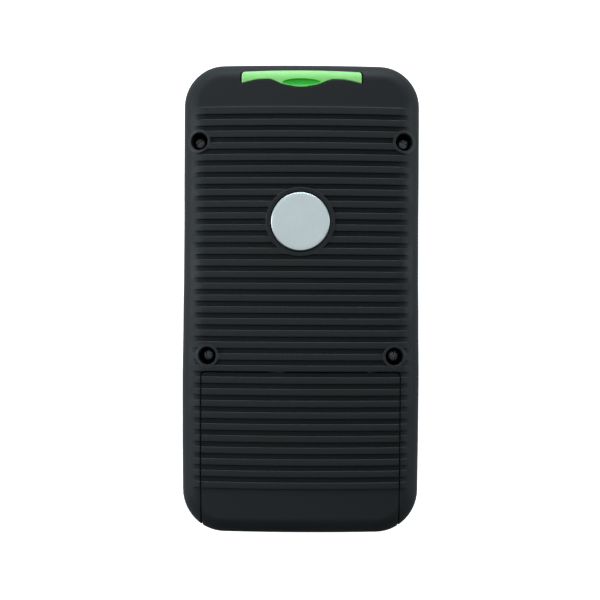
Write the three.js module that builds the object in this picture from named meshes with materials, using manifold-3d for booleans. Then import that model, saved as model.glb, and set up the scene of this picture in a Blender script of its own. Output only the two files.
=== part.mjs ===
// Hand-held wall scanner (stud finder) with a ribbed, crowned back, a holding disc, a slide-off battery door
// and a green push button. Units are millimetres, +Z is up and out of the ribbed back, +Y points to the button end,
// +X is to the right when the ribbed back is seen with the button at the top.
// The part lies on its flat sensing face at z = 0, and the origin is the middle of that face.
import * as THREE from 'three';
import { mergeVertices } from 'three/addons/utils/BufferGeometryUtils.js';
import Module from 'manifold-3d';

// ---------------------------------------------------------------- driving dimensions
const HALF_WIDTH = 41.0;          // half of the nominal case width
const HALF_LENGTH = 81.1;         // half of the case length
const CORNER_TOP = 14.0;          // plan radius of the two corners at the button end
const CORNER_LOW = 14.6;          // plan radius of the two corners at the battery end
const HEIGHT = 26.0;              // sensing face to the crown of the ribs, and to the disc's face
const CROWN_X = 0.002388;         // crown across: drop = CROWN_X * x^2
const CROWN_Y = 0.000473;         // crown along: drop = CROWN_Y * y^2
const EDGE_IN = 6.0;              // plan width of the rounded edge of the back
const EDGE_DOWN = 8.0;            // how far that rounded edge falls
const PARTING_Z = 10.0;           // lower edge of the rear shell
const SEAM = 0.3;                 // gap between pieces
const WALL = 2.0;                 // case wall
const FLOOR = 2.0;                // sensing wall

const RIB_PITCH = 4.0;            // rib to rib
const RIB_GROOVE = 1.65;          // plain gap between two ribs
const RIB_HEIGHT = 0.8;
const RIB_FIRST_GROOVE_Y = 62.23; // centre of the first full gap at the button end
const RIB_COUNT = 33;
const RIB_END_X = 36.8;           // where the ribs run out into the plain margin
const RIB_FADE = 4.6;             // length of that run-out

const DISC_X = -0.35, DISC_Y = 26.25, DISC_R = 10.0, DISC_T = 2.0, DISC_CHAMFER = 0.35;
const BOSS_R = 11.85, BOSS_TOP = 25.75;

const SCREWS = [                  // x, y, height of the head's seat
  [-35.25, 53.9, 13.7], [35.25, 53.9, 13.7], [-32.0, -19.56, 15.5], [32.0, -19.56, 15.5],
];
const SCREW_WELL_R = 3.05, SCREW_TUBE_R = 3.85, SCREW_SHANK_R = 1.25, SCREW_HEAD_R = 2.6;
const SCREW_HEAD_H = 1.8, SCREW_LENGTH = 9.5, POST_R = 3.0;

const DOOR_HALF = 33.9, DOOR_TOP_Y = -25.2, DOOR_CORNER = 1.2, DOOR_GAP = 0.42;

const CELL_R = 7.15, CELL_LENGTH = 50.5, CELL_PITCH = 14.7, CELL_Z = 11.2;
const CELL_LOW_Y = -76.5, CELL_HIGH_Y = -22.4;   // where a terminal nub points, at each end of the bay

const BOARD_HALF = 31.5, BOARD_LOW_Y = -15.0, BOARD_HIGH_Y = 77.0;
const ANTENNA_Z = 2.9, ANTENNA_T = 1.0, MAIN_Z = 7.4, MAIN_T = 1.6;
const STANDOFFS = [[-26, -10], [26, -10], [-26, 66], [26, 66]];

const BUTTON_STEM_Y = 74.6;

// ---------------------------------------------------------------- solids
const wasm = await Module();
wasm.setup();

function solid(geometry) {
  let g = geometry.index ? geometry.clone() : geometry.clone();
  for (const name of Object.keys(g.attributes)) if (name !== 'position') g.deleteAttribute(name);
  g = mergeVertices(g, 1e-4);
  const made = new wasm.Manifold(new wasm.Mesh({
    numProp: 3,
    vertProperties: new Float32Array(g.attributes.position.array),
    triVerts: new Uint32Array(g.index.array),
  }));
  return made;
}

function geometryOf(manifold) {
  const m = manifold.getMesh();
  const g = new THREE.BufferGeometry();
  const n = m.numProp, count = m.vertProperties.length / n, p = new Float32Array(count * 3);
  for (let i = 0; i < count; i++) for (let c = 0; c < 3; c++) p[3 * i + c] = m.vertProperties[n * i + c];
  g.setAttribute('position', new THREE.BufferAttribute(p, 3));
  g.setIndex(new THREE.BufferAttribute(new Uint32Array(m.triVerts), 1));
  g.computeVertexNormals();
  return g;
}

// A box between two corners.
function box(x0, y0, z0, x1, y1, z1) {
  return solid(new THREE.BoxGeometry(x1 - x0, y1 - y0, z1 - z0).translate((x0 + x1) / 2, (y0 + y1) / 2, (z0 + z1) / 2));
}

// An upright round bar between two heights.
function rod(x, y, z0, z1, r, sides = 24) {
  return solid(new THREE.CylinderGeometry(r, r, z1 - z0, sides).rotateX(Math.PI / 2).translate(x, y, (z0 + z1) / 2));
}

// A plan outline raised between two heights.
function prism(points, z0, z1) {
  const shape = new THREE.Shape(points.map(([x, y]) => new THREE.Vector2(x, y)));
  return solid(new THREE.ExtrudeGeometry(shape, { depth: z1 - z0, bevelEnabled: false, steps: 1 }).translate(0, 0, z0));
}

function roundedRect(x0, y0, x1, y1, r, n = 4) {
  const out = [];
  for (const [cx, cy, from] of [[x1 - r, y0 + r, -90], [x1 - r, y1 - r, 0], [x0 + r, y1 - r, 90], [x0 + r, y0 + r, 180]])
    for (let i = 0; i <= n; i++) {
      const t = (from + 90 * i / n) * Math.PI / 180;
      out.push([cx + r * Math.cos(t), cy + r * Math.sin(t)]);
    }
  return out;
}

// ---------------------------------------------------------------- the case's form
// Half width along the length: a slight waist by the disc and a slight swell at the head of the battery door.
const WIDTH_STATIONS = [[-67, 0.0], [-46, 0.13], [-28, 0.18], [-8, -0.03], [8, -0.18], [26, -0.2], [44, -0.09], [67, 0.0]];
function swell(y) {
  const s = WIDTH_STATIONS;
  if (y <= s[0][0] || y >= s[s.length - 1][0]) return 0;
  let i = 0;
  while (y > s[i + 1][0]) i++;
  const t = (y - s[i][0]) / (s[i + 1][0] - s[i][0]), u = t * t * (3 - 2 * t);
  return s[i][1] + (s[i + 1][1] - s[i][1]) * u;
}

const crown = (x, y) => HEIGHT - CROWN_X * x * x - CROWN_Y * y * y;

// The plan outline moved in by inset, as a loop of {x, y, nx, ny}, counter-clockwise from the low left end.
function outline(inset, { across = 2, arc = 6, sides = [-46, -28, -8, 8, 26, 44] } = {}) {
  const xl = HALF_WIDTH - CORNER_LOW, yl = HALF_LENGTH - CORNER_LOW, rl = CORNER_LOW - inset;
  const xt = HALF_WIDTH - CORNER_TOP, yt = HALF_LENGTH - CORNER_TOP, rt = CORNER_TOP - inset;
  const right = [];
  for (let i = 0; i <= arc; i++) {
    const t = -Math.PI / 2 + Math.PI / 2 * i / arc;
    right.push({ x: xl + rl * Math.cos(t), y: -yl + rl * Math.sin(t), nx: Math.cos(t), ny: Math.sin(t) });
  }
  for (const y of sides) right.push({ x: HALF_WIDTH - inset + swell(y), y, nx: 1, ny: 0 });
  for (let i = 0; i <= arc; i++) {
    const t = Math.PI / 2 * i / arc;
    right.push({ x: xt + rt * Math.cos(t), y: yt + rt * Math.sin(t), nx: Math.cos(t), ny: Math.sin(t) });
  }
  return right;
}

// A closed body under a crowned roof: rows of points across the roof, a rounded edge that falls to an upright side,
// and a flat underside. lowered moves the roof down, inset moves the sides in, edge = [plan width, fall].
function domed({ inset = 0, lowered = RIB_HEIGHT, edge = [EDGE_IN, EDGE_DOWN], bottom = 0, across = 8, arc = 5, rings = 4, sides }) {
  const right = outline(inset + edge[0], { arc, sides });
  const z = (x, y, fall) => crown(x, y) - lowered - fall;
  const vertices = [], triangles = [];
  const put = (x, y, h) => vertices.push(x, y, h) / 3 - 1;
  const rows = right.map((p) => {
    const row = [];
    for (let i = 0; i <= across; i++) {
      const x = p.x * (2 * i / across - 1);
      row.push(put(x, p.y, z(x, p.y, 0)));
    }
    return row;
  });
  for (let j = 0; j + 1 < rows.length; j++)
    for (let i = 0; i < across; i++) {
      const a = rows[j][i], b = rows[j][i + 1], c = rows[j + 1][i + 1], d = rows[j + 1][i];
      if (i < across / 2) triangles.push(a, b, c, a, c, d); else triangles.push(a, b, d, b, c, d);
    }
  // the boundary loop of the roof, with outward normals
  const loop = [];
  const last = rows.length - 1;
  for (let i = 0; i <= across; i++) loop.push([rows[0][i], 0, -1]);
  for (let j = 1; j < last; j++) loop.push([rows[j][across], right[j].nx, right[j].ny]);
  for (let i = across; i >= 0; i--) loop.push([rows[last][i], 0, 1]);
  for (let j = last - 1; j > 0; j--) loop.push([rows[j][0], -right[j].nx, right[j].ny]);
  let ring = loop.map(([v]) => v);
  for (let k = 1; k <= rings; k++) {
    const t = Math.PI / 2 * k / rings, out = edge[0] * Math.sin(t), fall = edge[1] * (1 - Math.cos(t));
    const next = loop.map(([v, nx, ny]) => {
      const x = vertices[3 * v] + nx * out, y = vertices[3 * v + 1] + ny * out;
      return put(x, y, z(x, y, fall));
    });
    for (let i = 0; i < ring.length; i++) {
      const e = (i + 1) % ring.length;
      triangles.push(ring[i], next[i], next[e], ring[i], next[e], ring[e]);
    }
    ring = next;
  }
  const foot = ring.map((v) => put(vertices[3 * v], vertices[3 * v + 1], bottom));
  for (let i = 0; i < ring.length; i++) {
    const e = (i + 1) % ring.length;
    triangles.push(ring[i], foot[i], foot[e], ring[i], foot[e], ring[e]);
  }
  const flat = foot.map((v) => new THREE.Vector2(vertices[3 * v], vertices[3 * v + 1]));
  for (const [a, b, c] of THREE.ShapeUtils.triangulateShape(flat, [])) triangles.push(foot[a], foot[c], foot[b]);
  const g = new THREE.BufferGeometry();
  g.setAttribute('position', new THREE.Float32BufferAttribute(vertices, 3));
  g.setIndex(triangles);
  return solid(g);
}

// The plan outline as plain points, for an upright prism of the case's form.
function casePlan(inset, arc = 5) {
  const right = outline(inset, { arc, sides: [-46, -28, -8, 8, 26, 44] });
  const left = right.slice().reverse().map((p) => ({ x: -p.x, y: p.y }));
  return [...right, ...left].map((p) => [p.x, p.y]);
}

// One raised rib, bedded in the roof, running out at both ends.
function rib(y0, y1) {
  const cuts = [-1, -0.93, -0.85, -0.51, -0.17, 0.17, 0.51, 0.85, 0.93, 1];
  const g = new THREE.BoxGeometry(2, y1 - y0, 1, cuts.length - 1, 1, 1);
  const p = g.attributes.position;
  for (let i = 0; i < p.count; i++) {
    const step = Math.round((p.getX(i) + 1) / 2 * (cuts.length - 1));
    const x = (RIB_END_X + 0.5) * cuts[step], y = (y0 + y1) / 2 + p.getY(i);
    const over = Math.max(0, (Math.abs(x) - (RIB_END_X - RIB_FADE)) / RIB_FADE);
    const top = crown(x, y) - RIB_HEIGHT * over * over;
    p.setXYZ(i, x, y, p.getZ(i) > 0 ? top : crown(x, y) - RIB_HEIGHT - 0.9 - (over > 0 ? 0.6 : 0));
  }
  return solid(g);
}

const skin = domed({ across: 6, arc: 5, rings: 4 });
const roof = domed({ inset: WALL, lowered: RIB_HEIGHT + WALL, edge: [EDGE_IN - WALL, EDGE_DOWN - 1.5], bottom: 0, across: 4, arc: 4, rings: 3, sides: [-46, -8, 26] });

const FIRST_RIB_EXTRA = 0.25;      // the rib at the head of the field is a little wider
const ribs = [];
for (let k = 0; k < RIB_COUNT; k++) {
  const above = RIB_FIRST_GROOVE_Y - RIB_PITCH * (k - 1) - RIB_GROOVE / 2;
  ribs.push(rib(above - (RIB_PITCH - RIB_GROOVE), above + (k === 0 ? FIRST_RIB_EXTRA : 0)));
}

// The whole outer form of the back: the crowned body with its ribs, the disc's boss and the plain collars of the screw wells.
let outer = skin;
for (const r of ribs) outer = outer.add(r);
outer = outer.add(rod(DISC_X, DISC_Y, 20, BOSS_TOP, BOSS_R, 40));
const collarTop = domed({ lowered: 0.05, edge: [8.3, 8.8], across: 8, arc: 6, rings: 4 });
for (const [x, y] of SCREWS) outer = outer.add(rod(x, y, crown(x, y) - 4, crown(x, y) + 2, SCREW_WELL_R + 1.0, 20).intersect(collarTop));

// ---------------------------------------------------------------- button window
// The button's plan: a shallow arched top edge, rounded upper corners, and a wavy lower edge with a finger tab.
const WINDOW_GAP = 0.45;
const BUTTON_X = -0.12;            // the button stands a little to one side
function buttonPlan(grow, below = grow) {
  const half = 20.56 + grow;
  const low = [[-20.85, 73.98], [-18.2, 74.58], [-15, 75.18], [-11.2, 75.28], [-9.5, 74.78], [-7.3, 73.78], [-4.6, 73.08], [-2.3, 72.7],
    [-0.1, 72.58], [2.1, 72.72], [4.3, 73.12], [6.9, 73.88], [9.1, 74.78], [11.1, 75.28], [15, 75.18], [18.2, 74.58], [20.85, 73.98]];
  const points = low.map(([x, y]) => [x * half / 20.85, y - below]);
  const top = (x) => 78.5 + grow - 0.00115 * x * x;
  const r = 1.1;
  for (let i = 0; i <= 3; i++) {
    const t = Math.PI / 2 * i / 3;
    points.push([half - r + r * Math.cos(t), top(half - r) - r + r * Math.sin(t)]);
  }
  for (const x of [12, 4, -4, -12]) points.push([x, top(x)]);
  for (let i = 0; i <= 3; i++) {
    const t = Math.PI / 2 + Math.PI / 2 * i / 3;
    points.push([-half + r + r * Math.cos(t), top(half - r) - r + r * Math.sin(t)]);
  }
  return points.map(([x, y]) => [x + BUTTON_X, y]);
}

// ---------------------------------------------------------------- rear shell
let rearShell = outer.subtract(roof);
rearShell = rearShell.add(rod(DISC_X, DISC_Y, 20.9, 24, BOSS_R, 40).intersect(skin));      // backing of the disc's pocket
for (const [x, y, seat] of SCREWS)
  rearShell = rearShell.add(rod(x, y, seat - 2.0, crown(x, y) - RIB_HEIGHT - 0.6, SCREW_TUBE_R, 24).intersect(skin));
// two stringers stiffen the upper back, and two straight ledges hold the battery door's rails
for (const x of [-19, 19]) rearShell = rearShell.add(box(x - 0.7, 44, 18.0, x + 0.7, 68, 22.4).intersect(skin));
for (const s of [-1, 1]) {
  const web = box(Math.min(s * 34.5, s * 35.6), -70, 16.4, Math.max(s * 34.5, s * 35.6), -27.5, 40).intersect(skin);
  rearShell = rearShell.add(web);
}
const ledges = [-1, 1].map((s) => box(Math.min(s * 32.5, s * 35.0), -70, 16.4, Math.max(s * 32.5, s * 35.0), -27.5, 17.5));
rearShell = rearShell.intersect(box(-60, -100, PARTING_Z, 60, 100, 60));
rearShell = rearShell.subtract(prism(roundedRect(-DOOR_HALF - DOOR_GAP, -100, DOOR_HALF + DOOR_GAP, DOOR_TOP_Y + DOOR_GAP, DOOR_CORNER + DOOR_GAP, 3), -1, 60)
  .intersect(box(-60, -100, -1, 60, 0, 60)));
for (const ledge of ledges) rearShell = rearShell.add(ledge);
rearShell = rearShell.subtract(rod(DISC_X, DISC_Y, 22.9, 40, DISC_R + 0.32, 48));
rearShell = rearShell.subtract(prism(buttonPlan(WINDOW_GAP, SEAM), 8, 40));
for (const [x, y, seat] of SCREWS) {
  rearShell = rearShell.subtract(rod(x, y, seat, 40, SCREW_WELL_R, 24));
  rearShell = rearShell.subtract(rod(x, y, 0, seat + 1, SCREW_SHANK_R + 0.35, 16));
}

// ---------------------------------------------------------------- battery door
const doorPlan = roundedRect(-DOOR_HALF, -100, DOOR_HALF, DOOR_TOP_Y, DOOR_CORNER, 3);
let door = outer.subtract(roof).intersect(prism(doorPlan, PARTING_Z + SEAM, 60));
// side skirts with outward rails that run under the shell's ledges, and three tongues that tuck under the shell
for (const s of [-1, 1]) {
  const skirt = box(Math.min(s * 30.9, s * 32.1), -75.5, 14.8, Math.max(s * 30.9, s * 32.1), -27.5, 40).intersect(skin);
  const rail = box(Math.min(s * 30.9, s * 34.0), -68, 14.8, Math.max(s * 30.9, s * 34.0), -29.5, 16.0);
  door = door.add(skirt).add(rail);
}
for (const x of [-19, 0, 19]) door = door.add(box(x - 4, -30, 19.6, x + 4, DOOR_TOP_Y + 2.8, 20.8)).add(box(x - 4, -30, 19.6, x + 4, -27.5, 23.3));

// ---------------------------------------------------------------- front shell
function tray(inset, z0, z1, low) {
  // the lower half of the case: upright sides with a rounded lower edge
  const shape = new THREE.Shape(casePlan(inset).map(([x, y]) => new THREE.Vector2(x, y)));
  const g = new THREE.ExtrudeGeometry(shape, { depth: z1 - z0 - low, bevelEnabled: true, bevelThickness: low, bevelSize: low, bevelOffset: -low, bevelSegments: 2, steps: 1 });
  return solid(g.translate(0, 0, z0 + low)).intersect(box(-60, -100, z0, 60, 100, z1 - low));
}
let frontShell = tray(0, 0, PARTING_Z - SEAM + 3, 3).subtract(tray(WALL, FLOOR, 30, 0.4));
for (const [x, y, seat] of SCREWS) {
  frontShell = frontShell.add(rod(x, y, FLOOR - 0.5, seat - 2.3, POST_R, 20));
  frontShell = frontShell.subtract(rod(x, y, 4.2, 40, SCREW_SHANK_R + 0.3, 16));
}
for (const [x, y] of STANDOFFS) {
  frontShell = frontShell.add(rod(x, y, FLOOR - 0.5, ANTENNA_Z - SEAM, 3.4, 16)).add(rod(x, y, FLOOR - 0.5, MAIN_Z - SEAM, 2.3, 16));
  frontShell = frontShell.subtract(rod(x, y, 3.2, 20, 1.25, 12));
}

// ---------------------------------------------------------------- power button
const buttonSkin = domed({ lowered: RIB_HEIGHT - 0.05, across: 8, arc: 5, rings: 6, bottom: 0 });
let button = prism(buttonPlan(0), 15.8, 40).intersect(buttonSkin);
button = button.subtract(prism(buttonPlan(-1.3), 15, 20.2).intersect(domed({ inset: 3.2, lowered: RIB_HEIGHT + 1.6, edge: [3.4, 5.2], across: 6, arc: 4, rings: 3 })));
button = button.add(box(-22.8, 70.6, 14.4, 22.8, 78.2, 15.9).intersect(prism(casePlan(2.7), 0, 40)));
button = button.subtract(box(-18.5, 75.2, 10, -3, 77.4, 17)).subtract(box(3, 75.2, 10, 18.5, 77.4, 17));
button = button.add(rod(0, BUTTON_STEM_Y, 13.1, 20.6, 1.7, 16));
// the oval finger dimple
const dimple = solid(new THREE.SphereGeometry(1, 24, 12).scale(6.7, 1.42, 0.9).translate(BUTTON_X, 73.98, crown(0, 73.98) - RIB_HEIGHT + 0.1));
button = button.subtract(dimple);

// ---------------------------------------------------------------- screws
function lathe(profile, sides) {
  return new THREE.LatheGeometry(profile.map(([r, z]) => new THREE.Vector2(r, z)), sides).rotateX(Math.PI / 2);
}
function caseScrew(x, y, seat, turn) {
  const z0 = seat + SEAM;
  let s = solid(lathe([[0, -SCREW_LENGTH], [0.5, -SCREW_LENGTH], [SCREW_SHANK_R, -SCREW_LENGTH + 1.3], [SCREW_SHANK_R, 0], [SCREW_HEAD_R, 0],
    [SCREW_HEAD_R, 1.0], [2.2, 1.55], [1.4, SCREW_HEAD_H], [0, SCREW_HEAD_H]], 16));
  const slot = solid(new THREE.BoxGeometry(3.1, 0.78, 1.3).translate(0, 0, SCREW_HEAD_H - 0.35));
  s = s.subtract(slot).subtract(slot.rotate([0, 0, 90]));
  return s.rotate([0, 0, turn]).translate([x, y, z0]);
}
function boardScrew(x, y) {
  let s = solid(lathe([[0, -5.5], [0.95, -5.2], [0.95, 0], [2.2, 0], [2.2, 0.9], [1.5, 1.5], [0, 1.5]], 12));
  const slot = solid(new THREE.BoxGeometry(2.6, 0.6, 1.0).translate(0, 0, 1.4));
  return s.subtract(slot).subtract(slot.rotate([0, 0, 90])).translate([x, y, MAIN_Z + MAIN_T + SEAM]);
}

// ---------------------------------------------------------------- battery tray, cells and contacts
const TRAY_LOW_Y = -79.0, TRAY_HIGH_Y = -19.9;
let batteryTray = box(-31.9, TRAY_LOW_Y, 2.3, 31.9, TRAY_HIGH_Y, 14.3).intersect(prism(casePlan(WALL + 0.5), 0, 40));
batteryTray = batteryTray.subtract(box(-30.4, -77.75, 3.6, 30.4, -21.2, 40).intersect(prism(casePlan(WALL + 1.3), 0, 40)));
batteryTray = batteryTray.subtract(box(-40, -90, 12.4, 40, -75.4, 40));
for (const s of [-1, 1]) batteryTray = batteryTray.subtract(box(Math.min(s * 27.2, s * 33), -24.3, 0, Math.max(s * 27.2, s * 33), -19, 40));
// saddles that part the cells
for (const x of [-CELL_PITCH, 0, CELL_PITCH]) {
  const saddle = solid(new THREE.ExtrudeGeometry(new THREE.Shape([[-2.6, 0], [2.6, 0], [0.25, 2.6], [-0.25, 2.6]].map(([a, b]) => new THREE.Vector2(a, b))),
    { depth: 40, bevelEnabled: false }).rotateX(Math.PI / 2).translate(x, -30, 3.4));
  batteryTray = batteryTray.add(saddle);
}

function cell(x, nubLow) {
  const n = 1.0, g = lathe([[0, 0], [6.6, 0], [CELL_R, 0.5], [CELL_R, CELL_LENGTH - n - 0.7], [6.5, CELL_LENGTH - n], [2.75, CELL_LENGTH - n],
    [2.6, CELL_LENGTH - 0.15], [2.3, CELL_LENGTH], [0, CELL_LENGTH]], 24);
  // built standing on its flat end, then laid along Y with the nub at the low or the high end of the bay
  const m = solid(g);
  return nubLow ? m.rotate([90, 0, 0]).translate([x, CELL_LOW_Y + CELL_LENGTH, CELL_Z]) : m.rotate([-90, 0, 0]).translate([x, CELL_HIGH_Y - CELL_LENGTH, CELL_Z]);
}

class Coil extends THREE.Curve {
  constructor(turns, r0, r1, length) { super(); Object.assign(this, { turns, r0, r1, length }); }
  getPoint(t, target = new THREE.Vector3()) {
    const a = 2 * Math.PI * this.turns * t, r = this.r0 + (this.r1 - this.r0) * t;
    return target.set(r * Math.cos(a), r * Math.sin(a), this.length * t);
  }
}
function wireSection(r, sides) {
  const pts = [];
  for (let i = 0; i < sides; i++) pts.push(new THREE.Vector2(r * Math.cos(2 * Math.PI * i / sides), r * Math.sin(2 * Math.PI * i / sides)));
  return new THREE.Shape(pts);
}
function spring(x, y, toward) {
  // wide turn at the plate, narrow turn at the cell
  const g = new THREE.ExtrudeGeometry(wireSection(0.28, 6), { steps: 30, bevelEnabled: false, extrudePath: new Coil(3, 4.0, 2.2, 2.1) });
  const m = solid(g);
  return toward > 0 ? m.rotate([-90, 0, 0]).translate([x, y, CELL_Z]) : m.rotate([90, 0, 0]).translate([x, y, CELL_Z]);
}
function wire(points) {
  const path = new THREE.CatmullRomCurve3(points.map((p) => new THREE.Vector3(...p)), false, 'centripetal');
  return solid(new THREE.ExtrudeGeometry(wireSection(0.65, 8), { steps: 12, bevelEnabled: false, extrudePath: path }));
}

const cellX = [-1.5, -0.5, 0.5, 1.5].map((k) => k * CELL_PITCH);
const lowPlateY = -77.4, highPlateY = -21.5;           // middles of the contact plates at each end
const plate = (x0, x1, y) => box(x0, y - 0.2, 5.2, x1, y + 0.2, 15.0);
const bridgeLowLeft = plate(-26.4, -1.8, lowPlateY + 0.2), bridgeLowRight = plate(1.8, 26.4, lowPlateY + 0.2), bridgeHigh = plate(-13.2, 13.2, highPlateY - 0.2);
const terminal = (s) => plate(Math.min(s * 16.2, s * 26.6), Math.max(s * 16.2, s * 26.6), highPlateY - 0.2)
  .add(box(Math.min(s * 19, s * 23), highPlateY - 0.4, 14.8, Math.max(s * 19, s * 23), highPlateY, 16.3))
  .add(box(Math.min(s * 19, s * 23), highPlateY - 0.4, 15.9, Math.max(s * 19, s * 23), -18.4, 16.3));

// ---------------------------------------------------------------- boards and what is on them
const boardPlan = prism(casePlan(WALL + 0.7), 0, 40);
let mainBoard = box(-BOARD_HALF, BOARD_LOW_Y, MAIN_Z, BOARD_HALF, BOARD_HIGH_Y, MAIN_Z + MAIN_T).intersect(boardPlan);
let antennaBoard = box(-BOARD_HALF, BOARD_LOW_Y, ANTENNA_Z, BOARD_HALF, BOARD_HIGH_Y, ANTENNA_Z + ANTENNA_T).intersect(boardPlan);
for (const [x, y] of STANDOFFS) {
  mainBoard = mainBoard.subtract(rod(x, y, 0, 20, 1.3, 12));
  antennaBoard = antennaBoard.subtract(rod(x, y, 0, 20, 2.65, 16));
}
const ON = MAIN_Z + MAIN_T + SEAM;   // the level that parts on the main board start from
const shieldCan = box(-16, 18, ON, 16, 48, ON + 3.2).subtract(box(-15.6, 18.4, ON - 1, 15.6, 47.6, ON + 2.8));

// ---------------------------------------------------------------- the assembly
const BLACK_SOFT = { color: 0x26292b, roughness: 0.62, metalness: 0 };
const GREEN = { color: 0x5fd14f, roughness: 0.38, metalness: 0 };
const SATIN = { color: 0xb9c3c6, roughness: 0.32, metalness: 1 };
const STEEL = { color: 0x8d9092, roughness: 0.35, metalness: 1 };
const NICKEL = { color: 0xc7c9c6, roughness: 0.3, metalness: 1 };
const BOARD = { color: 0x1f5a34, roughness: 0.5, metalness: 0 };
const CHIP = { color: 0x1a1a1c, roughness: 0.55, metalness: 0 };
const DARK_PLASTIC = { color: 0x202224, roughness: 0.6, metalness: 0 };

const group = new THREE.Group();
function place(name, manifold, look) {
  const mesh = new THREE.Mesh(geometryOf(manifold), new THREE.MeshStandardMaterial(look));
  mesh.name = name;
  group.add(mesh);
}

place('front_shell', frontShell, BLACK_SOFT);
place('rear_shell', rearShell, BLACK_SOFT);
place('battery_door', door, BLACK_SOFT);
place('power_button', button, GREEN);
place('switch_plunger', solid(lathe([[0, 0], [1.7, 0], [1.7, 1.2], [1.5, 1.5], [0, 1.5]], 16)).translate([0, BUTTON_STEM_Y, 11.3]), { color: 0xe9e6dc, roughness: 0.5, metalness: 0 });
place('tact_switch_body', box(-3, BUTTON_STEM_Y - 2.3, ON, 3, BUTTON_STEM_Y + 2.3, ON + 3.4).subtract(rod(0, BUTTON_STEM_Y, 10.4, 20, 2.0, 16)), CHIP);
place('magnet_disc', solid(lathe([[0, 0], [DISC_R - 0.2, 0], [DISC_R, 0.2], [DISC_R, DISC_T - DISC_CHAMFER], [DISC_R - DISC_CHAMFER, DISC_T], [0, DISC_T]], 48)).translate([DISC_X, DISC_Y, HEIGHT - DISC_T]), SATIN);
place('disc_adhesive_pad', rod(DISC_X, DISC_Y, 23.2, 23.7, 9.4, 28), { color: 0xd8d4c4, roughness: 0.9, metalness: 0 });
place('battery_tray', batteryTray, DARK_PLASTIC);
cellX.forEach((x, i) => place(`battery_cell_${i + 1}`, cell(x, i % 2 === 0), { color: 0x3b3f42, roughness: 0.35, metalness: 0.4 }));
cellX.forEach((x, i) => place(`battery_spring_${i + 1}`, i % 2 === 0 ? spring(x, highPlateY - 1.0, -1) : spring(x, lowPlateY + 1.0, 1), NICKEL));
place('contact_bridge_low_left', bridgeLowLeft, NICKEL);
place('contact_bridge_low_right', bridgeLowRight, NICKEL);
place('contact_bridge_high', bridgeHigh, NICKEL);
place('terminal_negative', terminal(-1), NICKEL);
place('terminal_positive', terminal(1), NICKEL);
place('wire_black', wire([[-21, -17.3, 16.1], [-20.4, -15.2, 16.3], [-18, -12.4, 16.4], [-15.6, -10.4, 15.6], [-14.9, -9.6, 13.9]]), { color: 0x141414, roughness: 0.5, metalness: 0 });
place('wire_red', wire([[21, -17.3, 16.1], [19, -15.6, 16.6], [8, -13.6, 17.2], [-4, -12.4, 17.2], [-10.2, -10.6, 15.8], [-11.1, -9.6, 13.9]]), { color: 0xa81c18, roughness: 0.5, metalness: 0 });
place('battery_connector', box(-17, -12.4, ON, -9, -6.8, ON + 4.2).subtract(box(-16, -11.4, ON + 3.4, -10, -7.8, ON + 6)), { color: 0xe6e0cf, roughness: 0.5, metalness: 0 });
place('main_board', mainBoard, BOARD);
place('antenna_board', antennaBoard, BOARD);
place('board_link_connector', box(-9, -12, ANTENNA_Z + ANTENNA_T + SEAM, 9, -8, MAIN_Z - SEAM), CHIP);
place('rf_shield_can', shieldCan, SATIN);
place('radar_chip', box(-6, 27, ON, 6, 39, ON + 1.1), CHIP);
place('processor_chip', box(-24, -1, ON, -12, 11, ON + 1.4), CHIP);
place('radio_module', box(6, -2, ON, 24, 11, ON + 2.4), SATIN);
place('memory_chip', box(-7.5, 0, ON, -0.5, 6, ON + 1.1), CHIP);
place('crystal', box(-6, 9, ON, -1, 12.2, ON + 1.2), NICKEL);
place('power_inductor', prism(roundedRect(-3.5, -12, 4.5, -4, 1.6, 3), ON, ON + 4), { color: 0x3a3a3c, roughness: 0.6, metalness: 0.1 });
place('electrolytic_capacitor', solid(lathe([[0, 0], [3.15, 0], [3.15, 1.0], [2.95, 1.35], [3.15, 1.7], [3.15, 5.4], [2.8, 5.8], [0, 5.8]], 18)).translate([12, -9, ON]), { color: 0xb5b9bb, roughness: 0.3, metalness: 0.9 });
STANDOFFS.forEach(([x, y], i) => place(`board_screw_${i + 1}`, boardScrew(x, y), STEEL));
SCREWS.forEach(([x, y, seat], i) => place(`case_screw_${i + 1}`, caseScrew(x, y, seat, [38, 62, 20, 8][i]), STEEL));

export default group;
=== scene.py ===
import math
import bmesh
import bpy
import numpy as np
from mathutils import Matrix, Vector
from mathutils.geometry import delaunay_2d_cdt


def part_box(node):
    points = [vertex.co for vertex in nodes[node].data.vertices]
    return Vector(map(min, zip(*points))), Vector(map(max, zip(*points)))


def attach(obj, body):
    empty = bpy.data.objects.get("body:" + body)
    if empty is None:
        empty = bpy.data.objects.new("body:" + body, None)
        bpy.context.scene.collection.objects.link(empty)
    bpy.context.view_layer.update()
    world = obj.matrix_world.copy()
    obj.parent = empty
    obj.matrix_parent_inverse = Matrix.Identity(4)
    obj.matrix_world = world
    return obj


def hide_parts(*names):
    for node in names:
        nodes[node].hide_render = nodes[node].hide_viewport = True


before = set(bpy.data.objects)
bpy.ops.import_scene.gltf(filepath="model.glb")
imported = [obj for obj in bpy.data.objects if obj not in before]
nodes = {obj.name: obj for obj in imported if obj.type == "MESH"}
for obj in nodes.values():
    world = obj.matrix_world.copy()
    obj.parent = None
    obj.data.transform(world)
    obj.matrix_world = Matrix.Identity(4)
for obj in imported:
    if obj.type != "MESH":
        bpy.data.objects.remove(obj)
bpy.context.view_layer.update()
MM = 0.001
PI = math.pi

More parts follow.
